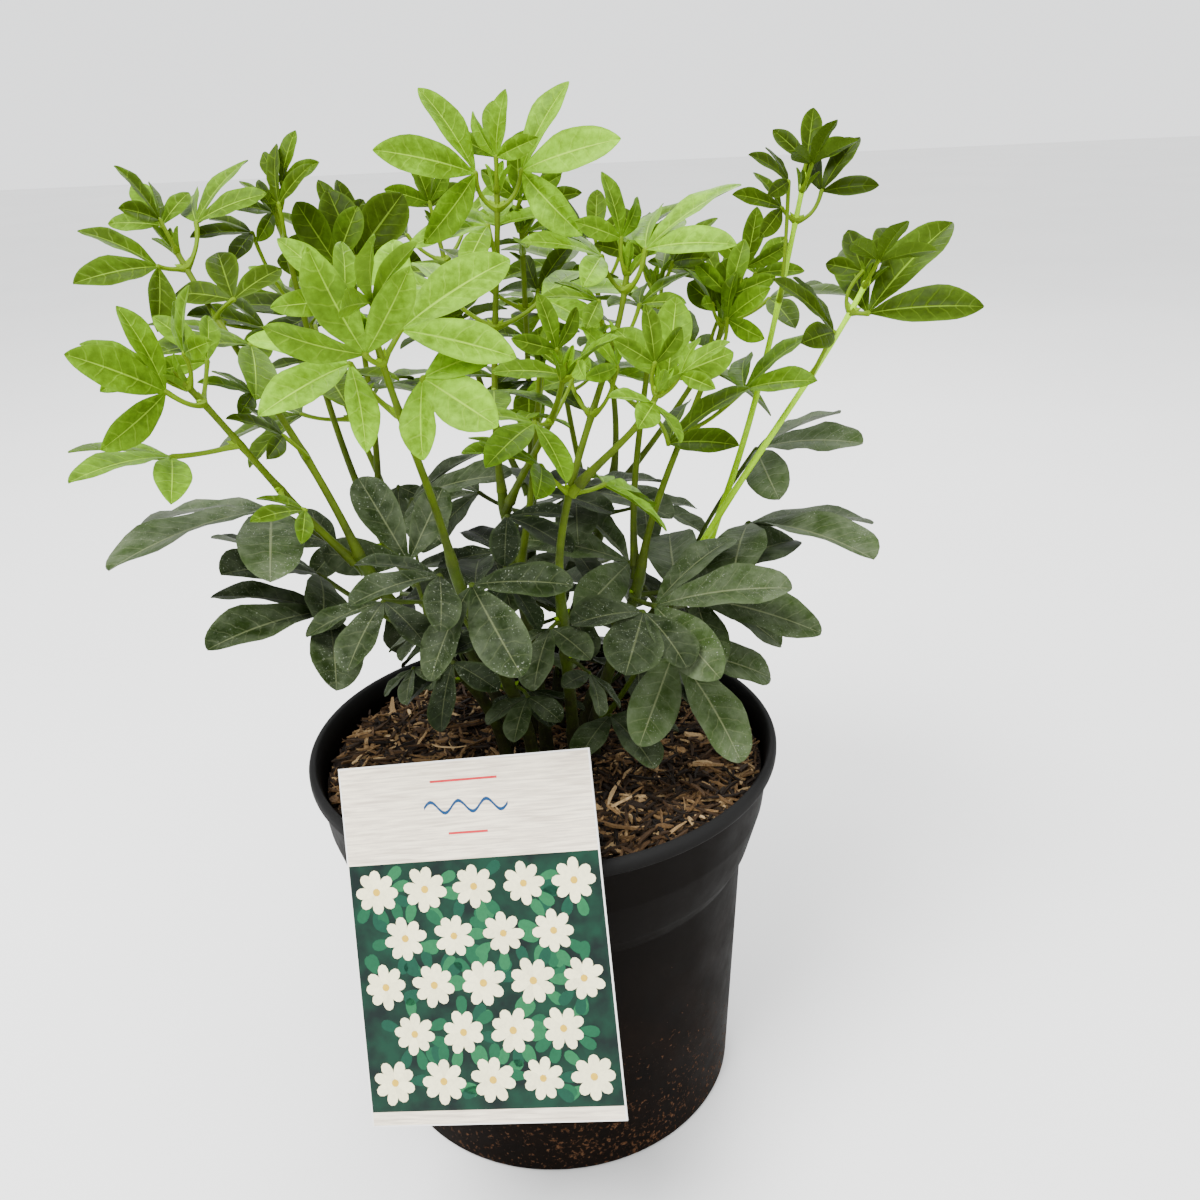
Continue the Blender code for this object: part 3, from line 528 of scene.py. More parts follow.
PAIR_PLACES = {2: (0.70, 1.0), 3: (0.55, 0.88, 1.0), 4: (0.42, 0.68, 0.91, 1.0),
               5: (0.30, 0.54, 0.76, 0.94, 1.0)}
PAIR_SIZES = {2: (1.0, 0.6), 3: (1.0, 0.9, 0.6), 4: (0.9, 1.0, 0.9, 0.6),
              5: (0.85, 1.0, 0.9, 0.9, 0.6)}
PAIR_RISES = {2: (42, 68), 3: (34, 50, 70), 4: (26, 38, 52, 70), 5: (22, 34, 44, 52, 72)}

# Pairs whose leaves the plant has shed, except for those that are set one by one.
SHED_PAIRS = {
    "branch_left": (0,), "branch_front_left": (0,), "branch_front_right": (0, 1, 2),
    "branch_right": (0, 1), "branch_back_right": (1,), "branch_back_left": (0, 1),
    "shoot_front": (0, 1), "shoot_left_front": (0, 1), "shoot_far_left": (0, 1, 2),
    "shoot_far_right": (0, 1), "shoot_right_back": (0, 1),
}

# Leaves set one by one on each stem: the place of the hub and of the middle leaflet's tip, the turn
# of the blade about its length in degrees, and how broad it is beside its neighbours.
AIMED = {
    "shoot_far_left": [
        ((-120, -4, 356), (-141, -28, 355), -45, 1),
        ((-95, -12, 345), (-96, 12, 355), 5, 1.15),
        ((-91, -20, 331), (-119, -44, 345), -25, 1),
        ((-88, 8, 333), (-110, -9, 341), -35, 1.1),
        ((-92, -18, 314), (-107, -29, 321), -25, 1),
        ((-79, -42, 305), (-95, -53, 312), -20, 1),
    ],
    "shoot_left_front": [
        ((-112, -56, 304), (-135, -86, 307), 0, 1),
        ((-107, -66, 327), (-128, -86, 342), -55, 1),
        ((-100, -46, 331), (-118, -41, 342), 5, 1),
        ((-72, -60, 285), (-87, -72, 286), -5, 1),
    ],
    "shoot_front": [
        ((-42, -100, 342), (-60, -112, 367), -55, 1.05),
        ((-49, -82, 336), (-72, -106, 328), -20, 1),
        ((-33, -88, 346), (-2, -71, 363), 15, 1),
        ((-28, -88, 332), (-8, -102, 319), 30, 1.4),
    ],
    "shoot_tall": [
        ((31, -2, 352), (3, -12, 359), -5, 1),
        ((45, -14, 355), (79, -3, 374), -10, 1),
        ((28, -22, 340), (8, -29, 343), -10, 1),
        ((43, -10, 336), (61, -3, 345), -10, 1),
        ((33, -30, 319), (21, -35, 334), -40, 1),
    ],
    "shoot_middle_right": [
        ((57, 36, 341), (82, 44, 350), -5, 1),
        ((57, 0, 282), (87, 12, 300), -10, 1),
    ],
    "shoot_right": [
        ((77, 18, 327), (80, 28, 344), -10, 1.5),
        ((77, 8, 326), (91, -1, 338), 55, 1.1),
        ((62, -1, 311), (92, 9, 326), -20, 1),
        ((84, 10, 299), (112, 20, 317), -20, 1),
    ],
    "shoot_tall_side": [
        ((49, -38, 316), (56, -23, 340), -10, 1.15),
        ((42, -58, 313), (35, -76, 310), -10, 1.3),
    ],
    "shoot_centre": [
        ((25, -24, 318), (40, -31, 326), -15, 1),
    ],
    "shoot_centre_left": [
        ((9, -2, 319), (13, 6, 330), -25, 1),
    ],
    "shoot_right_back": [
        ((103, 38, 361), (83, 33, 367), -30, 1),
        ((119, 42, 366), (136, 48, 384), 0, 1),
        ((104, 32, 371), (88, 28, 382), -20, 1),
    ],
    "shoot_far_right": [
        ((116, 4, 320), (89, -2, 337), -5, 1),
        ((130, 10, 325), (162, 22, 359), -10, 1),
        ((128, 12, 340), (125, 22, 354), -45, 1.25),
    ],
    "shoot_left_top": [
        ((-82, 24, 372), (-81, 34, 392), -35, 0.9),
        ((-87, 38, 368), (-102, 27, 373), -30, 1),
        ((-94, 30, 362), (-111, 16, 362), -5, 1),
        ((-66, 36, 349), (-81, 45, 369), -30, 1.3),
    ],
    "shoot_left_middle": [
        ((-63, 64, 350), (-68, 76, 376), 35, 1),
        ((-60, 50, 349), (-41, 65, 370), 50, 1.4),
        ((-57, 50, 343), (-37, 44, 354), 20, 1),
    ],
    "shoot_back_left": [
        ((-89, 76, 325), (-110, 61, 333), -40, 1.2),
    ],
    "shoot_top": [
        ((-11, 14, 380), (-44, -4, 391), -50, 1),
        ((5, 16, 380), (40, -2, 386), 50, 1),
        ((-8, 8, 363), (-34, -5, 365), -5, 1.1),
    ],
    "shoot_top_back": [
        ((6, 52, 355), (22, 58, 358), 10, 1),
        ((9, 50, 333), (23, 60, 350), -5, 0.9),
    ],
    "branch_front_right": [
        ((5, -46, 231), (-4, -70, 219), 25, 1.1),
        ((38, -46, 235), (28, -72, 221), -10, 1.6),
        ((26, -26, 183), (40, -54, 175), -15, 1.1),
        ((18, -44, 211), (20, -62, 203), -40, 1),
    ],
    "branch_back_right": [
        ((95, 41, 266), (130, 10, 274), 15, 1),
        ((89, 24, 240), (129, -24, 241), 0, 1),
    ],
    "branch_right": [
        ((56, -8, 226), (114, 11, 249), -10, 0.95),
        ((44, -28, 229), (86, -56, 240), 5, 1),
    ],
    "branch_left": [
        ((-72, -48, 244), (-103, -82, 246), -5, 1),
        ((-77, -26, 249), (-109, -59, 253), -10, 1),
        ((-88, -20, 276), (-122, -70, 271), 15, 1),
        ((-42, -33, 253), (-66, -16, 273), 0, 1),
        ((-36, -11, 220), (-43, -33, 209), 25, 0.9),
        ((-47, -26, 209), (-50, -42, 202), 20, 1),
    ],
    "branch_back_left": [
        ((-77, 22, 242), (-97, 11, 253), -25, 1.2),
        ((-53, 42, 259), (-51, 30, 248), 10, 1.2),
    ],
    "branch_front_left": [
        ((-30, -74, 265), (-57, -94, 266), 10, 1),
        ((-20, -74, 261), (-3, -105, 244), 15, 1),
        ((-50, -64, 253), (-61, -92, 242), 5, 1),
        ((-5, -38, 200), (-10, -57, 192), 10, 1.2),
        ((-30, -26, 214), (-28, -51, 201), 20, 1),
    ],
    "branch_middle": [
        ((-3, -7, 186), (3, -31, 176), -15, 1.1),
        ((-8, -24, 266), (14, -41, 257), -5, 1),
        ((-4, -34, 245), (7, -52, 234), -25, 1),
    ],
}


def clear_of_pot(points):
    """Leaves stay over the soil and the rim, or hang clear outside them."""
    inside, outside = RIM_BAND
    for p in points:
        r = math.hypot(p.x, p.y)
        floor = SOIL_TOP + ROOM_OVER_SOIL if r < inside else POT_HEIGHT + ROOM_OVER_RIM
        if r < outside and p.z < floor:
            return False
    return True


class Plan:
    """All stems and leaves of the plant, placed one after another."""

    def __init__(self):
        self.stems = {}
        self.obstacles = [card_obstacle()]
        self.plan_branches()
        self.plan_shoots()
        for stem in self.stems.values():
            self.obstacles.append(stem.bare())
        self.place_aimed()
        self.place_pairs()

    def plan_branches(self):
        for name, (foot, end, compass, _) in BRANCHES.items():
            start = Vector((*foot, SOIL_TOP))
            self.add_stem(name, start, UP, Vector(end), BRANCH_LIFT, BRANCH_RADII, compass)

    def plan_shoots(self):
        for name, (parent, t, end, lift, compass, _, _) in SHOOTS.items():
            start, heading = self.seat(self.stems[parent], t, Vector(end))
            self.add_stem(name, start, heading, Vector(end), lift, SHOOT_RADII, compass)

    def add_stem(self, name, start, heading, end, lift, radii, compass):
        finish = ((end - start).normalized() + UP * lift).normalized()
        self.stems[name] = Stem(name, start, heading, end, finish, radii, compass)

    def seat(self, parent, t, end):
        """Where a shoot starts: on its parent's flat end, or on an arm at its side."""
        axis = parent.heading(t)
        place = parent.place(t)
        if t == 1:
            return place + axis * GAP, axis
        goal = (end - place).normalized()
        outward = parent.outward(t)
        taken = parent.nodes.setdefault(t, {})
        free = [i for i in range(4) if i not in taken]
        side = max(free, key=lambda i: outward[i].dot(goal))
        heading = (goal + axis * 0.5 + outward[side] * 0.4).normalized()
        end = place + outward[side] * parent.half(t) + heading * ARM_LENGTH
        taken[side] = Arm(end, heading)
        return end + heading * GAP, heading

    def pair_rows(self, name):
        """Place, number, leaflet length and rise of each pair on a stem."""
        if name in BRANCHES:
            rows = [(t, BRANCHES[name][3], rise) for t, rise in zip(BRANCH_PLACES, BRANCH_RISES)]
        else:
            count, size = SHOOTS[name][-2:]
            pairs = zip(PAIR_PLACES[count], PAIR_SIZES[count], PAIR_RISES[count])
            rows = [(t, size * scale, rise) for t, scale, rise in pairs]
        return [(t, k, length, rise) for k, (t, length, rise) in enumerate(rows)]

    def place_aimed(self):
        for name, rows in AIMED.items():
            for hub, tip, roll, scale in rows:
                self.aim(self.stems[name], Vector(hub), Vector(tip), roll, scale)

    def aim(self, stem, hub, tip, roll, scale):
        """Grows a listed leaf from the first place that its stalk can come from."""
        for t, side in self.free_sides(stem, hub):
            if self.settle(stem, t, side, aimed_attitudes(stem, t, side, hub, tip, roll, scale)):
                return

    def free_sides(self, stem, hub):
        """The free leaf places that a stalk to the hub could come from, the most natural first."""
        free = []
        for t, number, _, _ in self.pair_rows(stem.name):
            for side in pair_sides(number):
                if t < 1 and side not in stem.nodes.get(t, {}):
                    free.append((stalk_cost(stem, t, side, hub), t, side))
        return [(t, side) for cost, t, side in sorted(free) if cost < COST_LIMIT]

    def place_pairs(self):
        for name, stem in self.stems.items():
            for t, number, length, rise in self.pair_rows(name):
                if number in SHED_PAIRS.get(name, ()):
                    continue
                for side in pair_sides(number):
                    if side not in stem.nodes.get(t, {}):
                        self.settle(stem, t, side, rule_attitudes(stem, t, side, length, rise))

    def settle(self, stem, t, side, leaves):
        """Takes the first attitude that is clear of the pot and of all placed before, if any."""
        for leaf in leaves:
            shape = leaf.test_shape()
            if not clear_of_pot(shape.points):
                continue
            body = Obstacle(shape)
            if not any(body.hits(other) for other in self.obstacles):
                stem.nodes.setdefault(t, {})[side] = leaf
                self.obstacles.append(body)
                return True
        return False


def pair_sides(number):
    return (3, 1) if number % 2 == 0 else (0, 2)


def stalk_cost(stem, t, side, hub):
    stalk = hub - stem.place(t)
    heading = stalk.normalized()
    aside = stem.outward(t)[side].dot(heading)
    back = max(0.0, 0.1 - stem.heading(t).dot(heading))
    through = THROUGH_COST if aside < 0.2 else 0
    return stalk.length + TURN_COST * (1 - aside) + BACK_COST * back + through


def blade_normal(forward, axis):
    """Blades face along their stem and towards the light, which comes from above the label."""
    return square_to(axis * 0.45 + LIGHT, forward)


def rule_attitudes(stem, t, side, length, rise):
    """A leaf square to its stem first, then turned, raised and made smaller little by little."""
    axis = stem.heading(t)
    out = stem.outward(t)[side]
    foot = stem.place(t) + out * stem.half(t)
    breadth = OLD_BREADTH if stem.old else NEW_BREADTH
    drop = OLD_DROP if stem.old else NEW_DROP if rise < TIP_RISE else TIP_DROP

    def cost(attitude):
        yaw, pitch, scale = attitude
        return abs(yaw) + abs(pitch) - SCALE_COST * scale

    for yaw, pitch, scale in sorted(product(YAWS, PITCHES, SCALES), key=cost):
        aside = turned(out, axis, math.radians(yaw))
        stalk = math.radians(rise + pitch)
        blade = math.radians(rise + pitch - drop)
        size = length * scale
        hub = foot + (aside * math.cos(stalk) + axis * math.sin(stalk)) * size * STALK_SHARE
        forward = (aside * math.cos(blade) + axis * math.sin(blade)).normalized()
        yield Leaf(foot, out, hub, forward, blade_normal(forward, axis), size, breadth)


def aimed_attitudes(stem, t, side, hub, tip, roll, scale):
    """A leaf at its given hub and tip first, then with its blade and its stalk turned a little."""
    axis = stem.heading(t)
    out = stem.outward(t)[side]
    foot = stem.place(t) + out * stem.half(t)
    breadth = scale * (OLD_BREADTH if stem.old else NEW_BREADTH)
    tries = sorted(product(SMALL_TURNS, repeat=3), key=lambda a: sum(abs(turn) for turn in a))
    for swing, yaw, pitch in tries:
        moved = foot + turned(hub - foot, axis, math.radians(swing))
        chord = turned(tip - hub, UP, math.radians(yaw))
        level = chord.cross(UP).normalized()
        chord = turned(chord, level, math.radians(pitch))
        forward = chord.normalized()
        normal = turned(blade_normal(forward, axis), forward, math.radians(roll))
        leaf = Leaf(foot, out, moved, forward, normal, chord.length, breadth)
        leaf.bend_stalk()
        leaf.aim_chord()
        yield leaf


def card_frame():
    across = square_to(CARD_ACROSS, CARD_NORMAL)
    return across, CARD_NORMAL.cross(across)


def card_obstacle():
    """The room that leaves keep round the card."""
    across, upward = card_frame()
    half = [side / 2 + CARD_MARGIN for side in CARD_SIZE]
    shape = Shape()
    rings = []
    for depth in (-CARD_DEPTH, CARD_DEPTH):
        middle = CARD_CENTRE + CARD_NORMAL * depth
        rings.append(shape.ring([middle + across * half[0] * i + upward * half[1] * j
                                 for i, j in ((-1, -1), (1, -1), (1, 1), (-1, 1))]))
    shape.flat(rings[0][::-1])
    shape.tube(*rings)
    shape.flat(rings[1])
    return Obstacle(shape)


def pot_outside():
    """Base, tapered wall, step, collar and rolled rim, as (radius, height)."""
    return [
        (0, 0), (BASE_RADIUS - 1, 0), (BASE_RADIUS, 1.5), (81.0, 112.5), (84.5, 119),
        (89.8, 138), (92.0, 155.5), (94.4, 157), (RIM_RADIUS, 158.5), (RIM_RADIUS, 161.5),
        (94.0, POT_HEIGHT), (92.2, POT_HEIGHT), (91.4, 161),
    ]


def pot_inside():
    """The wall's turns again on its inner side, from under the rim down to the floor."""
    wall = pot_outside()[6:2:-1]
    turns = [(radius - POT_WALL, height) for radius, height in wall]
    return turns + [(BASE_RADIUS + 0.5 - POT_WALL, POT_FLOOR)]


def inner_radius(height):
    """The pot's inner radius at a height, between the turns of its profile."""
    rows = sorted((z, r) for r, z in pot_inside())
    for (z0, r0), (z1, r1) in zip(rows, rows[1:]):
        if z0 <= height <= z1:
            return r0 + (r1 - r0) * (height - z0) / (z1 - z0)
    return rows[-1][1]


def soil_height(x, y):
    """A low uneven surface of bark: three crossed waves of different lengths."""
    wave = math.sin(x * 0.31 + 1.3 * math.sin(y * 0.17)) + math.sin(y * 0.37 + x * 0.12 + 2)
    wave += 0.7 * math.sin((x - y) * 0.61 + 1) * math.sin((x + y) * 0.53)
    return SOIL_TOP + SOIL_RELIEF * wave / 2.7


def card_radius(middle, height):
    """How far from the pot's axis the card's middle plane lies at a height."""
    return (CARD_CENTRE - UP * height).dot(CARD_NORMAL) / middle.dot(CARD_NORMAL)


def arr(vector):
    return np.array(vector, float)


def unit(vector):
    return vector / np.linalg.norm(vector, axis=-1, keepdims=True)


class Skin:
    """Points and faces of one piece. Each point has two vectors for its material: place says where
    it lies on its leaf, stem or chip, and tone what that leaf, stem or chip looks like."""

    def __init__(self):
        self.points = []
        self.places = []
        self.tones = []
        self.faces = []
        self.slots = []
        self.count = 0

    def loft(self, rings, places, tones, slot=0):
        """A closed tube through rings of points, with a flat cap at both ends."""
        rows, around, _ = rings.shape
        self.points.append(rings.reshape(-1, 3))
        self.places.append(np.broadcast_to(places, rings.shape).reshape(-1, 3))
        self.tones.append(np.broadcast_to(tones, rings.shape).reshape(-1, 3))
        k = np.arange(around)
        low = np.arange(rows - 1)[:, None] * around + self.count
        a = low + k
        b = low + (k + 1) % around
        faces = np.stack([a, b, b + around, a + around], -1).reshape(-1, 4).tolist()
        faces.append((self.count + k[::-1]).tolist())
        faces.append((self.count + (rows - 1) * around + k).tolist())
        self.faces += faces
        self.slots += [slot] * len(faces)
        self.count += rows * around

    def make(self, name, materials, sharp=30):
        mesh = bpy.data.meshes.new(name)
        mesh.from_pydata((np.concatenate(self.points) * MM).tolist(), [], self.faces)
        for key, values in (("place", self.places), ("tone", self.tones)):
            layer = mesh.attributes.new(key, "FLOAT_VECTOR", "POINT")
            layer.data.foreach_set("vector", np.concatenate(values).astype(np.float32).ravel())
        for material in materials:
            mesh.materials.append(material)
        mesh.polygons.foreach_set("material_index", self.slots)
        mesh.shade_smooth()
        mesh.set_sharp_from_angle(angle=math.radians(sharp))
        piece = bpy.data.objects.new(name, mesh)
        bpy.context.scene.collection.objects.link(piece)
        return piece


def placed(piece, slot, *nodes):
    """Hands a finished piece to the frame: its body and what it stands for. Its slot is not used."""
    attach(piece, "root")
    if nodes:
        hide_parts(*nodes)


def blade_frame(start, along, normal, length, droop, t, draw):
    """Points of a leaflet's arched and slightly twisted rib, and its side and face there."""
    bend = droop * t
    arch = along * (np.sin(bend) / droop) - normal * ((1 - np.cos(bend)) / droop)
    face = normal * np.cos(bend) + along * np.sin(bend)
    side = np.cross(along, normal)
    turn = draw.uniform(-BLADE_TWIST, BLADE_TWIST) * t
    aside = side * np.cos(turn) + face * np.sin(turn)
    return start + arch * length, aside, face * np.cos(turn) - side * np.sin(turn)


def blade(skin, start, along, normal, length, tone, draw, width, fold, droop, wave, tip,
          rows=BLADE_ROWS):
    """One leaflet: an arched rib with two halves that rise from it and a waved edge. A small tip
    value makes its end blunt. Each ring runs along the lower skin and back along the upper."""
    t = 0.012 + 0.985 * (0.5 - 0.5 * np.cos(np.linspace(0, math.pi, rows)))[:, None]
    u = np.linspace(-1, 1, BLADE_COLUMNS)
    u = np.sign(u) * np.abs(u) ** 0.85
    middle, aside, face = blade_frame(start, along, normal, length, droop, t, draw)
    outline = t ** BLADE_BASE * (1 - t) ** tip
    outline = outline / outline.max()
    wide = 0.5 * width * length * outline + BLADE_NECK * (1 - t)
    ripple = np.where(u < 0, draw.uniform(0, 6), draw.uniform(0, 6))
    beats = draw.uniform(1.6, 2.8)
    edge = wave * outline * u ** 2 * np.sin(6.28 * beats * t + ripple)
    lift = wide * math.sin(fold) * (1.35 * np.abs(u) - 0.35 * u ** 2) + edge
    reach = wide * math.cos(fold) * u
    top = middle[:, None] + aside[:, None] * reach[..., None] + face[:, None] * lift[..., None]
    on_rib = np.abs(u) < 0.01
    rib = np.where(on_rib, RIB_DEPTH, 0.0) * (1.15 - t)
    depth = BLADE_THICKNESS * (1 - EDGE_THINNING * u ** 2) + rib
    low = top - face[:, None] * depth[..., None]
    top = top - face[:, None] * np.where(on_rib, RIB_GROOVE, 0.0)[None, :, None]
    phase = (t * length - np.abs(reach) * 0.75) / VEIN_SPACING
    mark = np.stack(np.broadcast_arrays(u, t, phase), -1)
    rings = np.concatenate([low, top[:, -2:0:-1]], 1)
    places = np.concatenate([mark, mark[:, -2:0:-1]], 1)
    tones = np.empty(rings.shape)
    tones[...] = tone
    tones[:, :BLADE_COLUMNS, 2] = 0.0
    tones[:, BLADE_COLUMNS:, 2] = 1.0
    skin.loft(rings, places, tones, BLADE_SLOT)


def tube(skin, path, radii, tone, sides, start=(0.13, 0.31, 0.94)):
    """A round stem along a path, with its own radius at each point."""
    across = arr(start)
    frames = []
    for step in unit(np.gradient(path, axis=0)):
        across = unit(across - step * across.dot(step))
        frames.append((across, np.cross(step, across)))
    frames = np.array(frames)
    a = np.linspace(0, CIRCLE, sides, endpoint=False)
    circle = frames[:, 0][:, None] * np.cos(a)[:, None] + frames[:, 1][:, None] * np.sin(a)[:, None]
    rings = path[:, None] + circle * np.asarray(radii)[:, None, None]
    spot = np.concatenate([[0], np.cumsum(np.linalg.norm(np.diff(path, axis=0), axis=1))])
    places = np.zeros(rings.shape)
    places[..., 0] = a / math.pi - 1
    places[..., 1] = spot[:, None] / 100
    skin.loft(rings, places, tone, STEM_SLOT)


def curve(a, b, c, steps):
    """Points of a quadratic curve from a to c that leans towards b."""
    t = np.linspace(0, 1, steps)[:, None]
    return a * (1 - t) ** 2 + b * (2 * t * (1 - t)) + c * t ** 2


def stalk_path(leaf, root):
    """A bent line from inside the stem to the leaf's hub."""
    foot = arr(leaf.foot)
    hub = arr(leaf.hub)
    out = arr(leaf.out)
    if leaf.knee:
        middle = (foot + hub) / 2
        lean = middle + (arr(leaf.knee) - middle) * KNEE_SHARE
    else:
        lean = foot + (hub - foot) * 0.35 + out * np.linalg.norm(hub - foot) * 0.22
    path = curve(foot, lean, hub, len(STALK_TAPER) - 1)
    return np.concatenate([[foot - out * root], path])


def grow_leaf(skin, leaf, tone, draw, old, root):
    """Stalk, hub and three leaflets of one leaf."""
    slim = 0.62 + 0.008 * leaf.length
    stem_tone = (tone[0], tone[1] * 0.6, 0.0 if old else 0.1)
    tube(skin, stalk_path(leaf, root), slim * STALK_TAPER, stem_tone, STALK_SIDES)
    normal = arr(leaf.normal)
    hub = arr(leaf.hub)
    knob = curve(hub - normal * slim * 1.1, hub, hub + normal * slim * 0.9, len(HUB_TAPER))
    tube(skin, knob, slim * HUB_TAPER, stem_tone, STALK_SIDES)
    for angle in (SIDE_ANGLE, 0.0, -SIDE_ANGLE):
        length = leaf.length * (SIDE_SCALE if angle else 1.0)
        angle += draw.uniform(-0.07, 0.07)
        along = arr(turned(leaf.forward, leaf.normal, angle))
        leaf_tone = (tone[0] + draw.uniform(-0.07, 0.07), tone[1], 0)
        width = leaf.breadth * draw.uniform(0.88, 1.0)
        fold = BLADE_FOLD * draw.uniform(0.6, 1.1)
        wave = length * (0.018 if old else 0.013)
        tip = OLD_TIP if old else NEW_TIP
        blade(skin, hub + along * 0.3, along, normal, length - 0.3, leaf_tone, draw, width, fold,
              BLADE_DROOP, wave, tip)


def grow_stem(skin, stem, tone):
    """The round stem with a swelling at each node and a flare where it starts."""
    length = stem.length()
    steps = max(14, int(length / 3.2))
    t = np.linspace(0, 1, steps)
    path = np.array([arr(stem.place(x)) for x in t])
    radii = 0.97 * (stem.radii[0] + (stem.radii[1] - stem.radii[0]) * t)
    for node in stem.nodes:
        radii *= 1 + 0.24 * np.exp(-((t - node) * length / 2.6) ** 2)
    if stem.old:
        path[0, 2] -= 6
        radii *= 1 + 0.35 * np.exp(-t * length / 9)
        ages = tone[1] * (1 - 0.5 * t)
    else:
        path[0] -= arr(stem.heading(0)) * 1.4
        radii *= 1 + 0.55 * np.exp(-t * length / 4)
        ages = 0.5 * (1 - tone[2]) * (1 - t) ** 2
    tones = np.empty((steps, STEM_SIDES, 3))
    tones[...] = tone
    tones[..., 1] = ages[:, None]
    tube(skin, path, radii, tones, STEM_SIDES, stem.sides(0)[0])


def grow_bud(skin, place, heading, size, tone, draw):
    """A tuft of four folded young leaflets and a pointed core at a shoot's tip."""
    ahead = heading * size
    core = curve(place, place + ahead * 0.3, place + ahead * 0.75, len(BUD_TAPER))
    tube(skin, core, size * BUD_TAPER, tone, STALK_SIDES)
    aside = unit(np.cross(heading, arr((0.3, 0.9, 0.1))))
    for k in range(4):
        a = 1.57 * k + draw.uniform(-0.3, 0.3)
        out = aside * math.cos(a) + np.cross(heading, aside) * math.sin(a)
        along = unit(heading + out * draw.uniform(0.22, 0.5))
        normal = unit(np.cross(np.cross(along, -out), along))
        length = size * draw.uniform(0.9, 1.45)
        blade(skin, place + out * 0.6, along, normal, length, (tone[0] + 0.12, tone[1], 0), draw,
              width=0.30, fold=0.6, droop=0.25, wave=0.05, tip=0.7, rows=BUD_ROWS)


def grow_axil_bud(skin, leaf, axis, tone):
    """The small pointed bud between a leaf's stalk and its stem."""
    foot = arr(leaf.foot)
    out = arr(leaf.out)
    tip = unit(out * 0.7 + axis)
    path = curve(foot + axis * 0.9 - out * 0.5, foot + tip * 1.6, foot + tip * 3.3, 5)
    tube(skin, path, AXIL_BUD_RADII, tone, 6)


def grow_arm(skin, arm, tone, half):
    end = arr(arm.end)
    heading = arr(arm.heading)
    foot = end - heading * (ARM_LENGTH + half * 0.6)
    path = curve(foot, (foot + end) / 2, end + heading * 0.4, len(ARM_RADII))
    tube(skin, path, ARM_RADII, tone, STEM_SIDES)


def grow_nodes(skin, stem, lit_and_fresh, age, draw):
    """Arms, leaves and axil buds along a stem, from its foot up."""
    for t in sorted(stem.nodes):
        for _, item in sorted(stem.nodes[t].items()):
            if isinstance(item, Arm):
                grow_arm(skin, item, (lit_and_fresh, age * 0.6, 0.0), stem.half(t))
                continue
            # Each leaf's tone: the stem's tone, which holds painted light and shade, varied at random.
            shade = lit_and_fresh + draw.uniform(-0.26, 0.13)
            if not stem.old:
                shade += 0.10 * (t - 0.6)
            grow_leaf(skin, item, (shade, age, 0), draw, stem.old, stem.half(t))
            grow_axil_bud(skin, item, arr(stem.heading(t)), (lit_and_fresh, age * 0.5, 0.3))


def plant_piece(stem):
    """All that grows on one stem, as one piece that replaces its node."""
    draw = random.Random(stem.name)
    # The stem's leaf tone, partly freshness and partly painted light and shade.
    lit_and_fresh = LIGHT_AND_FRESHNESS.get(stem.name, OLD_LIGHT_AND_FRESHNESS if stem.old else LIGHT_AND_FRESHNESS_BEHIND)
    age = 1.0 if stem.old else 0.0
    pale = PALE_STEMS.get(stem.name, 0.0)
    skin = Skin()
    grow_stem(skin, stem, (lit_and_fresh, age, pale))
    grow_nodes(skin, stem, lit_and_fresh, age, draw)
    if not stem.old:
        size = BUD_SIZE if 1.0 in stem.nodes else BARE_BUD_SIZE
        tone = (lit_and_fresh, 0.0, pale)
        grow_bud(skin, arr(stem.place(1)), arr(stem.heading(1)), size, tone, draw)
    materials = [OLD_LEAF, OLD_STEM] if stem.old else [NEW_LEAF, NEW_STEM]
    piece = skin.make(f"{stem.name}_fine", materials, 50)
    placed(piece, "old_leaf" if stem.old else "new_leaf", stem.name)


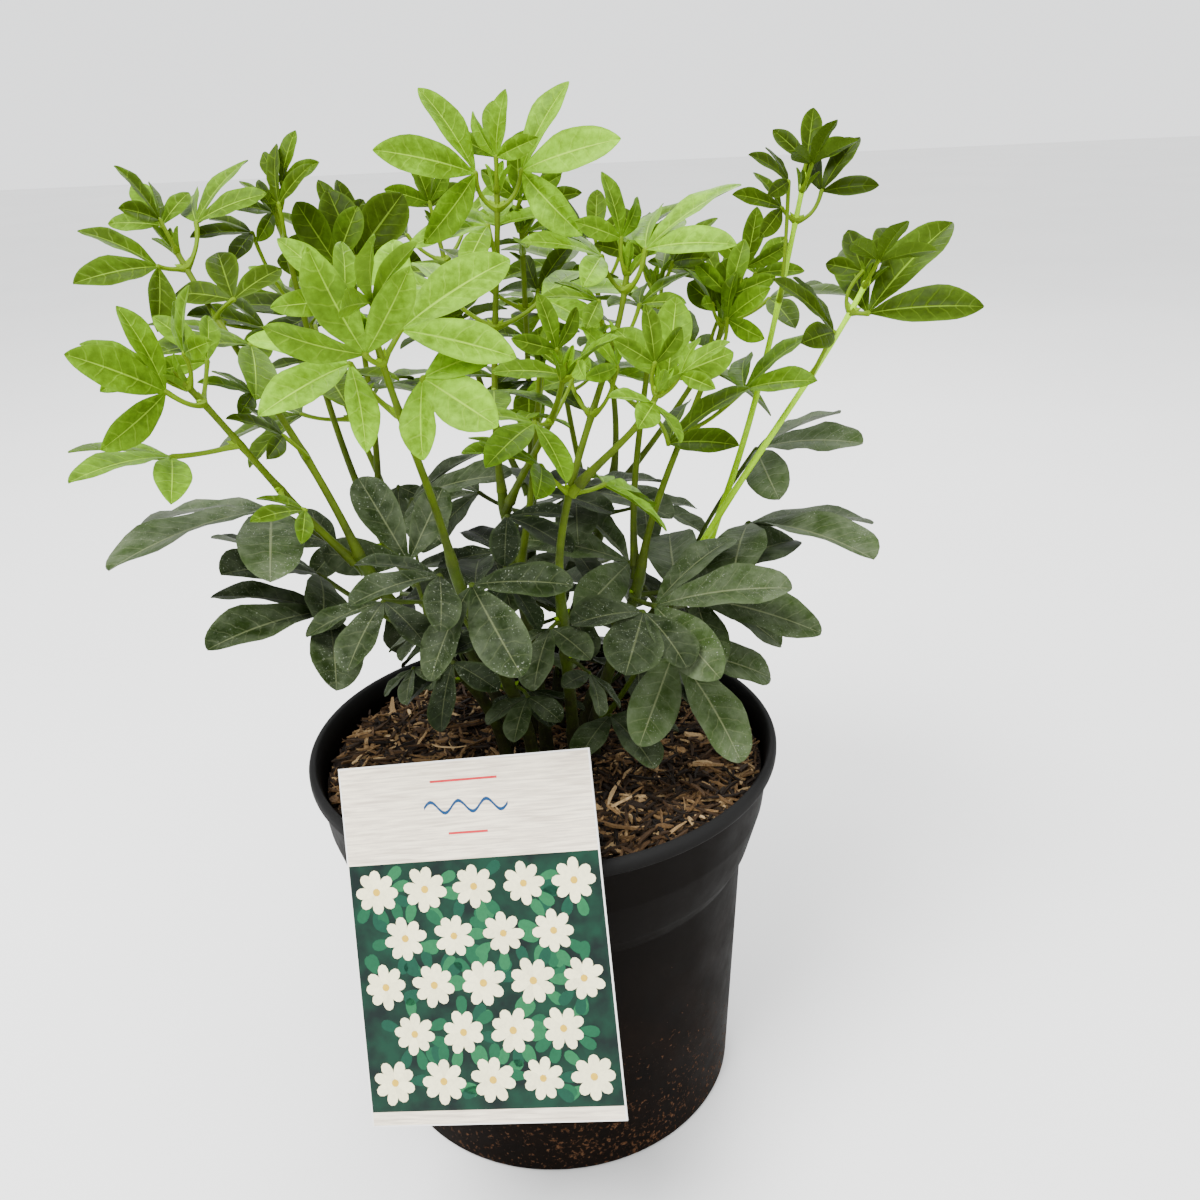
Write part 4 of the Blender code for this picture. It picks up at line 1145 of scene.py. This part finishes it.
class Nodes:
    """Short names for the shader nodes of one material."""

    def __init__(self, name):
        self.material = bpy.data.materials.new(name)
        self.material.use_nodes = True
        self.tree = self.material.node_tree
        self.shader = self.tree.nodes["Principled BSDF"]

    def add(self, kind, **settings):
        node = self.tree.nodes.new(kind)
        for key, value in settings.items():
            setattr(node, key, value)
        return node

    def put(self, socket, value):
        if isinstance(value, bpy.types.NodeSocket):
            self.tree.links.new(value, socket)
        else:
            socket.default_value = value

    def math(self, operation, *values, clamp=False):
        node = self.add("ShaderNodeMath", operation=operation, use_clamp=clamp)
        for socket, value in zip(node.inputs, values):
            self.put(socket, value)
        return node.outputs[0]

    def times(self, a, b):
        return self.math("MULTIPLY", a, b)

    def scaled(self, value, slope, base, clamp=False):
        return self.math("MULTIPLY_ADD", value, slope, base, clamp=clamp)

    def varied(self, base, noise, spread):
        """A value moved up and down by a noise, which lies about 0.5."""
        return self.scaled(self.math("SUBTRACT", noise, 0.5), spread, base)

    def near(self, value, reach):
        """1 where a value is 0, down to 0 where it passes its reach."""
        return self.math("SUBTRACT", 1.0, self.math("DIVIDE", value, reach), clamp=True)

    def past(self, value, limit, slope):
        """0 up to a limit, and 1 a little above it."""
        return self.math("MULTIPLY", self.math("SUBTRACT", value, limit), slope, clamp=True)

    def split(self, vector):
        node = self.add("ShaderNodeSeparateXYZ")
        self.put(node.inputs[0], vector)
        return node.outputs

    def join(self, *values):
        node = self.add("ShaderNodeCombineXYZ")
        for socket, value in zip(node.inputs, values):
            self.put(socket, value)
        return node.outputs[0]

    def where(self):
        return self.add("ShaderNodeTexCoord").outputs["Object"]

    def attribute(self, name):
        return self.split(self.add("ShaderNodeAttribute", attribute_name=name).outputs["Vector"])

    def noise(self, scale, detail=2.0, rough=0.5, vector=None, distortion=0.0):
        node = self.add("ShaderNodeTexNoise")
        self.put(node.inputs["Vector"], vector or self.where())
        self.put(node.inputs["Scale"], scale)
        self.put(node.inputs["Detail"], detail)
        self.put(node.inputs["Roughness"], rough)
        self.put(node.inputs["Distortion"], distortion)
        return node.outputs["Fac"]

    def ramp(self, value, stops):
        """Colours or greys between stops of (position, colour or grey)."""
        node = self.add("ShaderNodeValToRGB")
        elements = node.color_ramp.elements
        while len(elements) < len(stops):
            elements.new(0.5)
        for element, (position, colour) in zip(elements, stops):
            element.position = position
            grey = isinstance(colour, (int, float))
            element.color = (colour, colour, colour, 1) if grey else (*colour, 1)
        self.put(node.inputs[0], value)
        return node.outputs[0]

    def mix(self, share, a, b, blend="MIX"):
        node = self.add("ShaderNodeMix", data_type="RGBA", blend_type=blend)
        self.put(node.inputs[0], share)
        for socket, value in ((node.inputs[6], a), (node.inputs[7], b)):
            self.put(socket, value if isinstance(value, bpy.types.NodeSocket) else (*value, 1))
        return node.outputs[2]

    def bump(self, height, strength, distance):
        node = self.add("ShaderNodeBump")
        self.put(node.inputs["Height"], height)
        self.put(node.inputs["Strength"], strength)
        self.put(node.inputs["Distance"], distance)
        self.put(self.shader.inputs["Normal"], node.outputs[0])

    def finish(self, **values):
        for key, value in values.items():
            self.put(self.shader.inputs[key.replace("_", " ")], value)
        return self.material


def leaf_material(name, colours, rib_colour, under_colour, dust, gloss, vein_share):
    """Blade colour by tone, mottled and lighter towards its edge, with a pale midrib and side
    veins, a paler underside and a film that is partly dust and partly painted sheen."""
    n = Nodes(name)
    across, along, phase = n.attribute("place")
    shade, _, upper = n.attribute("tone")
    spread = n.math("ABSOLUTE", across)
    cloud = n.noise(90, 3)
    tone = n.varied(n.varied(shade, cloud, 0.45), n.noise(420, 4, 0.6), 0.55)
    tone = n.scaled(n.math("POWER", spread, 2.0), 0.12, tone)
    tone = n.scaled(n.past(spread, 0.94, 16.0), 0.15, tone)
    rib = n.near(spread, n.scaled(along, -0.055, 0.085))
    rib = n.math("MULTIPLY", rib, 1.6, clamp=True)
    beat = n.math("PINGPONG", n.varied(phase, n.noise(260, 1), 0.5), 0.5)
    fade = n.math("SUBTRACT", 1.0, n.math("POWER", spread, 3.0), clamp=True)
    vein = n.times(n.near(beat, 0.085), fade)
    faint = n.scaled(shade, 0.60, 0.18, clamp=True)
    colour = n.mix(n.times(vein, n.times(faint, vein_share)), n.ramp(tone, colours), rib_colour)
    colour = n.mix(n.times(rib, faint), colour, rib_colour)
    colour = n.mix(n.times(n.math("SUBTRACT", 1.0, upper), 0.5), colour, under_colour)
    # Old leaves get a film that is partly dust and partly painted sheen.
    if dust:
        colour = dust_and_sheen(n, colour, shade, dust)
    relief = n.scaled(vein, -0.5, n.times(n.noise(700, 3), 0.35))
    n.bump(n.scaled(rib, -0.6, relief), 0.55, 0.0004)
    rough = n.scaled(cloud, 0.22, 0.36 + 0.12 * dust)
    return n.finish(Base_Color=colour, Roughness=rough, Specular_IOR_Level=gloss)


def dust_and_sheen(n, colour, shade, dust):
    """A grey-green film in patches, partly dust and partly painted sheen, which is thicker
    on leaves of a lighter tone, and small dried splashes.
    """
    film = n.ramp(n.noise(120, 5, 0.65), [(0.38, 0.0), (0.72, 0.6)])
    # Painted sheen: the film is thicker where the leaf's tone is lighter.
    film = n.times(film, n.scaled(shade, 1.3, 0.2, clamp=True))
    colour = n.mix(n.times(film, dust), colour, DUST_AND_SHEEN_FILM)
    specks = n.ramp(n.noise(1500, 2, 0.6), [(0.64, 0.0), (0.70, 1.0)])
    patch = n.ramp(n.noise(70, 3), [(0.40, 0.0), (0.66, 1.0)])
    return n.mix(n.times(specks, patch), colour, DUST_SPECK)


def stem_material(name, young, base, old):
    """Green stem that turns to brown bark towards the soil, with fine ridges and pores."""
    n = Nodes(name)
    _, age, pale = n.attribute("tone")
    cloud = n.noise(140, 4, 0.6)
    colour = n.ramp(n.varied(age, cloud, 0.9), [(0.0, young), (0.55, base), (0.95, old)])
    colour = n.mix(n.times(pale, 0.9), colour, PALE_STEM)
    pores = n.ramp(n.noise(1100, 2), [(0.60, 0.0), (0.68, 1.0)])
    colour = n.mix(n.times(pores, 0.20), colour, STEM_PORE)
    colour = n.mix(n.times(n.noise(320, 3), 0.12), colour, base)
    n.bump(n.noise(800, 4, 0.7), 0.5, 0.0004)
    rough = n.scaled(cloud, 0.25, 0.38)
    return n.finish(Base_Color=colour, Roughness=rough, Specular_IOR_Level=0.08)


def pot_material():
    """Black plastic, greyer on its rim as a painted highlight, with dried soil splashed on its
    lower half.
    """
    n = Nodes("black_plastic")
    height = n.split(n.where())[2]
    low = n.near(height, 0.105)
    patch = n.ramp(n.noise(34, 3), [(0.3, 0.62), (0.6, 1.0)])
    wet = n.times(n.math("POWER", low, 0.7), patch)
    limit = n.math("SUBTRACT", 0.78, n.times(wet, 0.26))
    dirt = n.past(n.noise(520, 4, 0.6), limit, 16.0)
    film = n.times(wet, n.ramp(n.noise(60, 6, 0.7), [(0.35, 0.0), (0.75, 0.8)]))
    haze = n.ramp(n.noise(45, 5, 0.65), [(0.3, 0.0), (0.8, 1.0)])
    colour = n.mix(n.times(haze, 0.35), (0.0030, 0.0024, 0.0020), (0.0065, 0.0052, 0.0042))
    # Painted highlight: the top of the collar and the rim are mixed towards grey.
    colour = n.mix(n.times(n.past(height, 0.1555, 160.0), 0.8), colour, (0.014, 0.014, 0.014))
    colour = n.mix(n.times(film, 0.6), colour, (0.014, 0.007, 0.004))
    grit = n.ramp(n.noise(900, 2), [(0.35, (0.030, 0.013, 0.006)), (0.7, (0.11, 0.055, 0.028))])
    colour = n.mix(n.times(dirt, 0.85), colour, grit)
    n.bump(n.scaled(dirt, 1.2, n.times(n.noise(350, 3), 0.12)), 0.5, 0.0006)
    rough = n.scaled(n.math("ADD", haze, dirt, clamp=True), 0.25, 0.42)
    return n.finish(Base_Color=colour, Roughness=rough, Specular_IOR_Level=0.012)


def soil_material():
    n = Nodes("dark_soil")
    grain = n.noise(420, 5, 0.7)
    colour = n.ramp(grain, [(0.3, (0.004, 0.0025, 0.002)), (0.75, (0.025, 0.014, 0.008))])
    n.bump(grain, 0.9, 0.0015)
    return n.finish(Base_Color=colour, Roughness=0.92, Specular_IOR_Level=0.2)


def bark_material():
    """Shredded bark: each chip has its own brown, with grain along it."""
    n = Nodes("bark_chips")
    across, along, _ = n.attribute("place")
    shade, _, _ = n.attribute("tone")
    stretched = n.join(n.times(across, 9.0), n.times(along, 1.4), n.times(shade, 60.0))
    grain = n.noise(1.6, 4, 0.6, vector=stretched)
    colour = n.ramp(n.varied(shade, grain, 0.5), [
        (0.0, (0.005, 0.003, 0.0015)), (0.35, (0.020, 0.011, 0.005)), (0.6, (0.070, 0.036, 0.014)),
        (0.8, (0.20, 0.115, 0.045)), (1.0, (0.52, 0.36, 0.18)),
    ])
    n.bump(grain, 0.8, 0.0006)
    return n.finish(Base_Color=colour, Roughness=0.82, Specular_IOR_Level=0.25)


OLD_LEAF = leaf_material("old_leaf", OLD_BLADES, rib_colour=(0.16, 0.185, 0.085),
                         under_colour=(0.028, 0.043, 0.013), dust=0.7, gloss=0.06, vein_share=0.36)
NEW_LEAF = leaf_material("new_leaf", NEW_BLADES, rib_colour=(0.32, 0.54, 0.03),
                         under_colour=(0.060, 0.112, 0.006), dust=0.0, gloss=0.05, vein_share=0.30)
OLD_STEM = stem_material("old_stem", young=(0.045, 0.085, 0.002), base=(0.030, 0.050, 0.003),
                         old=(0.014, 0.013, 0.005))
NEW_STEM = stem_material("new_stem", young=(0.078, 0.128, 0.003), base=(0.034, 0.050, 0.004),
                         old=(0.02, 0.03, 0.002))


def turned_piece(name, profile, segments, material, sharp):
    """A closed profile of (radius, height) turned about the Z axis. It starts and ends on the
    axis and runs up the outside."""
    a = np.linspace(0, CIRCLE, segments, endpoint=False)
    rows = np.array(profile[1:-1])
    x = rows[:, :1] * np.cos(a)
    y = rows[:, :1] * np.sin(a)
    z = np.broadcast_to(rows[:, 1:], x.shape)
    skin = Skin()
    skin.loft(np.stack([x, y, z], -1), np.zeros(3), np.zeros(3))
    return skin.make(name, [material], sharp)


def rounded(points, steps=4):
    """The profile with each inner corner replaced by a small curve."""
    out = [points[0]]
    for before, corner, after in zip(points, points[1:], points[2:]):
        b, c, d = (arr(p) for p in (before, corner, after))
        first = min(EDGE_RADIUS, np.linalg.norm(b - c) * 0.45)
        last = min(EDGE_RADIUS, np.linalg.norm(d - c) * 0.45)
        bend = curve(c + unit(b - c) * first, c, c + unit(d - c) * last, steps)
        out += [tuple(p) for p in bend]
    out.append(points[-1])
    return out


def build_pot():
    """The pot again with many more sides and rounded edges, and its drain holes."""
    profile = pot_outside() + pot_inside() + [(0, POT_FLOOR)]
    pot = turned_piece("pot_fine", rounded(profile), POT_SEGMENTS, pot_material(), 35)
    for k in range(DRAIN_HOLES):
        a = CIRCLE * (k + 0.5) / DRAIN_HOLES
        cut_hole(pot, math.cos(a) * DRAIN_CIRCLE * MM, math.sin(a) * DRAIN_CIRCLE * MM)
    placed(pot, "pot_plastic", "pot")


def cut_hole(pot, x, y):
    bpy.ops.mesh.primitive_cylinder_add(vertices=40, radius=DRAIN_RADIUS * MM, depth=0.02,
                                        location=(x, y, 0))
    hole = bpy.context.object
    cut = pot.modifiers.new("hole", "BOOLEAN")
    cut.operation = "DIFFERENCE"
    cut.solver = "EXACT"
    cut.object = hole
    bpy.context.view_layer.objects.active = pot
    bpy.ops.object.modifier_apply(modifier=cut.name)
    bpy.data.objects.remove(hole)


def build_soil():
    """The root ball under a rough surface of dark soil."""
    foot = POT_FLOOR + GAP
    profile = [(0, foot), (inner_radius(foot) - GAP, foot)]
    for height in (60, 112.5, 119, 138, SOIL_TOP - 2):
        profile.append((inner_radius(height) - GAP, height))
    edge = profile[-1][0] - 0.4
    for k in range(SOIL_RINGS):
        profile.append((edge * (1 - k / SOIL_RINGS), SOIL_TOP))
    profile.append((0, SOIL_TOP))
    soil = turned_piece("soil_fine", profile, SOIL_SEGMENTS, soil_material(), 60)
    for v in soil.data.vertices:
        if v.co.z > (SOIL_TOP - 1) * MM:
            v.co.z = soil_height(v.co.x / MM, v.co.y / MM) * MM
    placed(soil, "bark_mulch", "soil")


def chip_rings(draw, x, y):
    """Ragged four-cornered rings along one bent sliver of bark over (x, y), and its length."""
    middle_length, longest = CHIP_LENGTHS
    length = min(longest, middle_length * math.exp(abs(draw.gauss(0, 0.70))))
    big = draw.random() < BIG_SHARE
    wide = draw.uniform(0.22, 0.95) * (2.2 if big else 1.0)
    thick = draw.uniform(0.2, 0.55) * (1.4 if big else 1.0)
    yaw = draw.uniform(0, math.pi)
    pitch = draw.gauss(0, 0.16)
    lift = abs(draw.gauss(0, 1.5))
    level = math.cos(pitch)
    heading = arr((math.cos(yaw) * level, math.sin(yaw) * level, math.sin(pitch)))
    side = unit(np.cross(arr((draw.gauss(0, 0.25), draw.gauss(0, 0.25), 1.0)), heading))
    up = np.cross(heading, side)
    middle = arr((x, y, soil_height(x, y) + thick * 0.6 + lift))
    bow = draw.gauss(0, 0.07) * length
    rings = []
    for k in range(CHIP_ROWS):
        s = k / (CHIP_ROWS - 1) - 0.5
        taper = (1 - (2 * abs(s)) ** 3 * draw.uniform(0.3, 0.95)) * draw.uniform(0.8, 1.1)
        centre = middle + heading * length * s + side * bow * (1 - 4 * s * s)
        centre = centre + up * draw.gauss(0, 0.12)
        w = side * (wide * taper)
        h = up * (thick * (0.6 + 0.4 * taper))
        rings.append([centre - w - h, centre + w * draw.uniform(0.8, 1.1) - h,
                      centre + w * 0.8 + h * draw.uniform(0.7, 1.1), centre - w * 0.85 + h])
    return arr(rings), length


def chip(skin, draw, feet):
    """Lays one sliver of bark on the soil, unless it would meet a stem or leave the soil."""
    radius = CHIP_CIRCLE * math.sqrt(draw.random())
    a = draw.uniform(0, CIRCLE)
    x, y = radius * math.cos(a), radius * math.sin(a)
    if any(math.hypot(x - foot.x, y - foot.y) < STEM_ROOM for foot in feet):
        return
    rings, length = chip_rings(draw, x, y)
    if np.hypot(rings[..., 0], rings[..., 1]).max() > CHIP_EDGE:
        return
    shade = draw.choice(CHIP_SHADES) + draw.gauss(0, 0.07)
    if draw.random() < PALE_SHARE:
        shade = draw.uniform(0.84, 1.05)
    places = np.zeros(rings.shape)
    places[..., 0] = [0, 1, 1, 0]
    places[..., 1] = np.linspace(0, length / 4, CHIP_ROWS)[:, None]
    skin.loft(rings, places, (shade, 0, 0))


def build_mulch(plan):
    feet = [stem.place(0) for stem in plan.stems.values() if stem.old]
    draw = random.Random(11)
    material = bark_material()
    for layer in range(2):
        skin = Skin()
        for _ in range(CHIP_TRIES):
            chip(skin, draw, feet)
        placed(skin.make(f"bark_chips_{layer}", [material]), "bark_mulch")


def on_card(flat, rise):
    """Points over the printed face of the card, from places in millimetres from its middle."""
    across, upward = card_frame()
    out = arr(CARD_CENTRE) + arr(CARD_NORMAL) * (CARD_THICKNESS / 2 + rise)
    return out + flat[:, :1] * arr(across) + flat[:, 1:] * arr(upward)


def sheet(skin, outline, low, high, ink=(0, 0, 0), slot=0):
    """A thin flat shape on the card, from an outline that runs anticlockwise."""
    rings = np.stack([on_card(outline, low), on_card(outline, high)])
    places = np.zeros(rings.shape)
    places[..., :2] = outline / 100
    skin.loft(rings, places, ink, slot)


def box_outline(left, low, right, high):
    return np.array([(left, low), (right, low), (right, high), (left, high)], float)


def petal_outline(x, y, heading, near, length, width):
    """A petal or leaf with its narrow end at a distance from (x, y) in the heading's direction."""
    a = np.linspace(0, CIRCLE, 12, endpoint=False)
    along = near + length * (0.5 - 0.5 * np.cos(a))
    aside = -0.5 * width * np.sin(a) * (1 - 0.28 * np.cos(a))
    return np.stack([x + along * math.cos(heading) + aside * math.sin(heading),
                     y + along * math.sin(heading) - aside * math.cos(heading)], -1)


def ribbon_outline(y, length, width, swing=0.0, waves=1):
    """A level wavy line about the card's middle, as a narrow closed outline."""
    t = np.linspace(0, 1, 12 * waves + 1)
    middle = y + swing * np.sin(CIRCLE * waves * t)
    line = length * (t - 0.5)
    lower = np.stack([line, middle - width / 2], -1)
    upper = np.stack([line, middle + width / 2], -1)
    return np.concatenate([lower, upper[::-1]])


def print_leaves(skin, x, y, draw):
    """Simple leaves round a flower's place, where they lie wholly on the green ground."""
    for k in range(FLOWER_LEAVES):
        outline = petal_outline(x, y, draw.uniform(0, 6.28), 5.5, 7.0, 3.8)
        inside = np.abs(outline[:, 0]).max() < CARD_SIZE[0] / 2 - 1
        if inside and STRIP_TOP < outline[:, 1].min() and outline[:, 1].max() < BAND_FOOT:
            sheet(skin, outline, 0.02, 0.035 + 0.004 * k, draw.choice(PRINT_GREENS))


def print_flower(skin, x, y, draw):
    """A daisy-like flower of plain cream petals round a yellow disc, over its leaves."""
    turn = draw.uniform(0, 6.28)
    print_leaves(skin, x, y, draw)
    size = draw.uniform(0.88, 1.0)
    for k in range(PETALS):
        heading = turn + CIRCLE * k / PETALS + draw.uniform(-0.08, 0.08)
        pale = draw.uniform(0.86, 1.0)
        cream = (0.90 * pale, 0.85 * pale, 0.55 * pale)
        length = 7.2 * size * draw.uniform(0.92, 1.04)
        rise = 0.07 + 0.012 * (k % 3)
        sheet(skin, petal_outline(x, y, heading, 0.9, length, 3.9 * size), 0.02, rise, cream)
    a = np.linspace(0, CIRCLE, 10, endpoint=False)
    disc = np.stack([x + 1.35 * size * np.cos(a), y + 1.35 * size * np.sin(a)], -1)
    sheet(skin, disc, 0.02, 0.15, PRINT_YELLOW)


def ink_material():
    """Flat printing inks, each piece in its own colour, a little uneven."""
    n = Nodes("printing_inks")
    colour = n.add("ShaderNodeAttribute", attribute_name="tone").outputs["Color"]
    grain = n.ramp(n.noise(900, 3), [(0.3, 0.86), (0.7, 1.0)])
    return n.finish(Base_Color=n.mix(1.0, colour, grain, "MULTIPLY"), **PRINT_FINISH)


def band_material():
    """Pale band with a faint grain of long fine streaks."""
    n = Nodes("pale_band")
    across, upward, _ = n.attribute("place")
    stretched = n.join(n.times(across, 5.0), n.times(upward, 90.0))
    streaks = n.noise(1.2, 4, 0.6, vector=stretched, distortion=0.4)
    colour = n.ramp(streaks, [(0.3, (0.48, 0.41, 0.33)), (0.62, (0.82, 0.74, 0.58))])
    return n.finish(Base_Color=colour, **PRINT_FINISH)


def field_material():
    """Deep green ground of the print, darker in soft patches."""
    n = Nodes("green_ground")
    patches = n.noise(110, 3)
    colour = n.ramp(patches, [(0.35, (0.0015, 0.007, 0.006)), (0.65, (0.003, 0.028, 0.015))])
    return n.finish(Base_Color=colour, **PRINT_FINISH)


def card_material():
    n = Nodes("white_card")
    colour = n.ramp(n.noise(400, 3), [(0.3, (0.72, 0.71, 0.68)), (0.7, (0.78, 0.77, 0.74))])
    return n.finish(Base_Color=colour, Roughness=0.45, Specular_IOR_Level=0.3)


def tongue_rings():
    """Sections of the strip behind the card, which bends over the rim and into the soil."""
    middle = Vector((CARD_NORMAL.x, CARD_NORMAL.y, 0)).normalized()
    thick = middle * CARD_THICKNESS / 2
    wide = Vector((-middle.y, middle.x, 0)) * TONGUE_WIDTH / 2
    rows = [(card_radius(middle, height) - TONGUE_SINK, height) for height in TONGUE_JOINT]
    rows += TONGUE_BENDS
    return arr([[middle * radius + thick * i + wide * j + UP * height
                 for i, j in ((1, -1), (1, 1), (-1, 1), (-1, -1))] for radius, height in rows[::-1]])


def build_card():
    """The card and the tongue that holds it."""
    skin = Skin()
    right, high = (side / 2 for side in CARD_SIZE)
    sheet(skin, box_outline(-right, -high, right, high), -CARD_THICKNESS, 0.0)
    skin.loft(tongue_rings(), np.zeros(3), np.zeros(3))
    placed(skin.make("label_card", [card_material()]), "label_card", "label")


def build_print():
    """The label's own plain design: rows of flowers under a pale band with three small lines."""
    draw = random.Random(5)
    skin = Skin()
    edge, top = (side / 2 - PRINT_EDGE for side in CARD_SIZE)
    sheet(skin, box_outline(-edge, STRIP_TOP, edge, BAND_FOOT), 0.0, 0.02, slot=1)
    sheet(skin, box_outline(-edge, BAND_FOOT, edge, top), 0.0, 0.03, slot=2)
    sheet(skin, box_outline(-edge, -top, edge, STRIP_TOP), 0.0, 0.03, slot=2)
    for row in range(FLOWER_ROWS):
        y = BAND_FOOT - FLOWER_START - FLOWER_STEP[1] * row
        count = 5 - row % 2
        for k in range(count):
            print_flower(skin, (k - (count - 1) / 2) * FLOWER_STEP[0], y, draw)
    sheet(skin, ribbon_outline(46, 30, 1.2, 2.0, 3), 0.03, 0.06, PRINT_BLUE)
    sheet(skin, ribbon_outline(55, 24, 0.8), 0.03, 0.06, PRINT_RED)
    sheet(skin, ribbon_outline(37, 14, 0.8), 0.03, 0.06, PRINT_RED)
    placed(skin.make("label_print", [ink_material(), field_material(), band_material()]), "label_card")


def build_floor():
    n = Nodes("pale_floor")
    colour = n.ramp(n.noise(3.0, 2), [(0.3, (0.80, 0.80, 0.795)), (0.7, (0.83, 0.83, 0.825))])
    bpy.ops.mesh.primitive_plane_add(size=FLOOR_SIZE, location=(0, 0, 0))
    floor = bpy.context.object
    floor.name = "floor"
    floor.data.materials.append(n.finish(Base_Color=colour, Roughness=0.8))


def build_lights():
    world = bpy.data.worlds.new("soft_light")
    world.use_nodes = True
    colour, strength = world.node_tree.nodes["Background"].inputs[:2]
    colour.default_value = SKY_COLOUR
    strength.default_value = SKY_STRENGTH
    bpy.context.scene.world = world
    for name, (place, target, size, power) in LIGHTS.items():
        light = bpy.data.lights.new(name, "AREA")
        light.shape = "DISK"
        light.size = size
        light.energy = power
        lamp = bpy.data.objects.new(name, light)
        lamp.location = place
        aim = Vector(target) - Vector(place)
        lamp.rotation_euler = aim.to_track_quat("-Z", "Y").to_euler()
        bpy.context.scene.collection.objects.link(lamp)


def build_camera():
    data = bpy.data.cameras.new("photo_view")
    data.lens = CAMERA_LENS
    data.sensor_width = CAMERA_SENSOR
    camera = bpy.data.objects.new("photo_view", data)
    axes = Matrix((CAMERA_RIGHT, CAMERA_UP, CAMERA_BACK)).transposed()
    camera.matrix_world = Matrix.Translation(CAMERA_PLACE) @ axes.to_4x4()
    bpy.context.scene.collection.objects.link(camera)
    bpy.context.scene.camera = camera


plan = Plan()
for stem in plan.stems.values():
    plant_piece(stem)
build_pot()
build_soil()
build_mulch(plan)
build_card()
build_print()
build_floor()
build_lights()
build_camera()
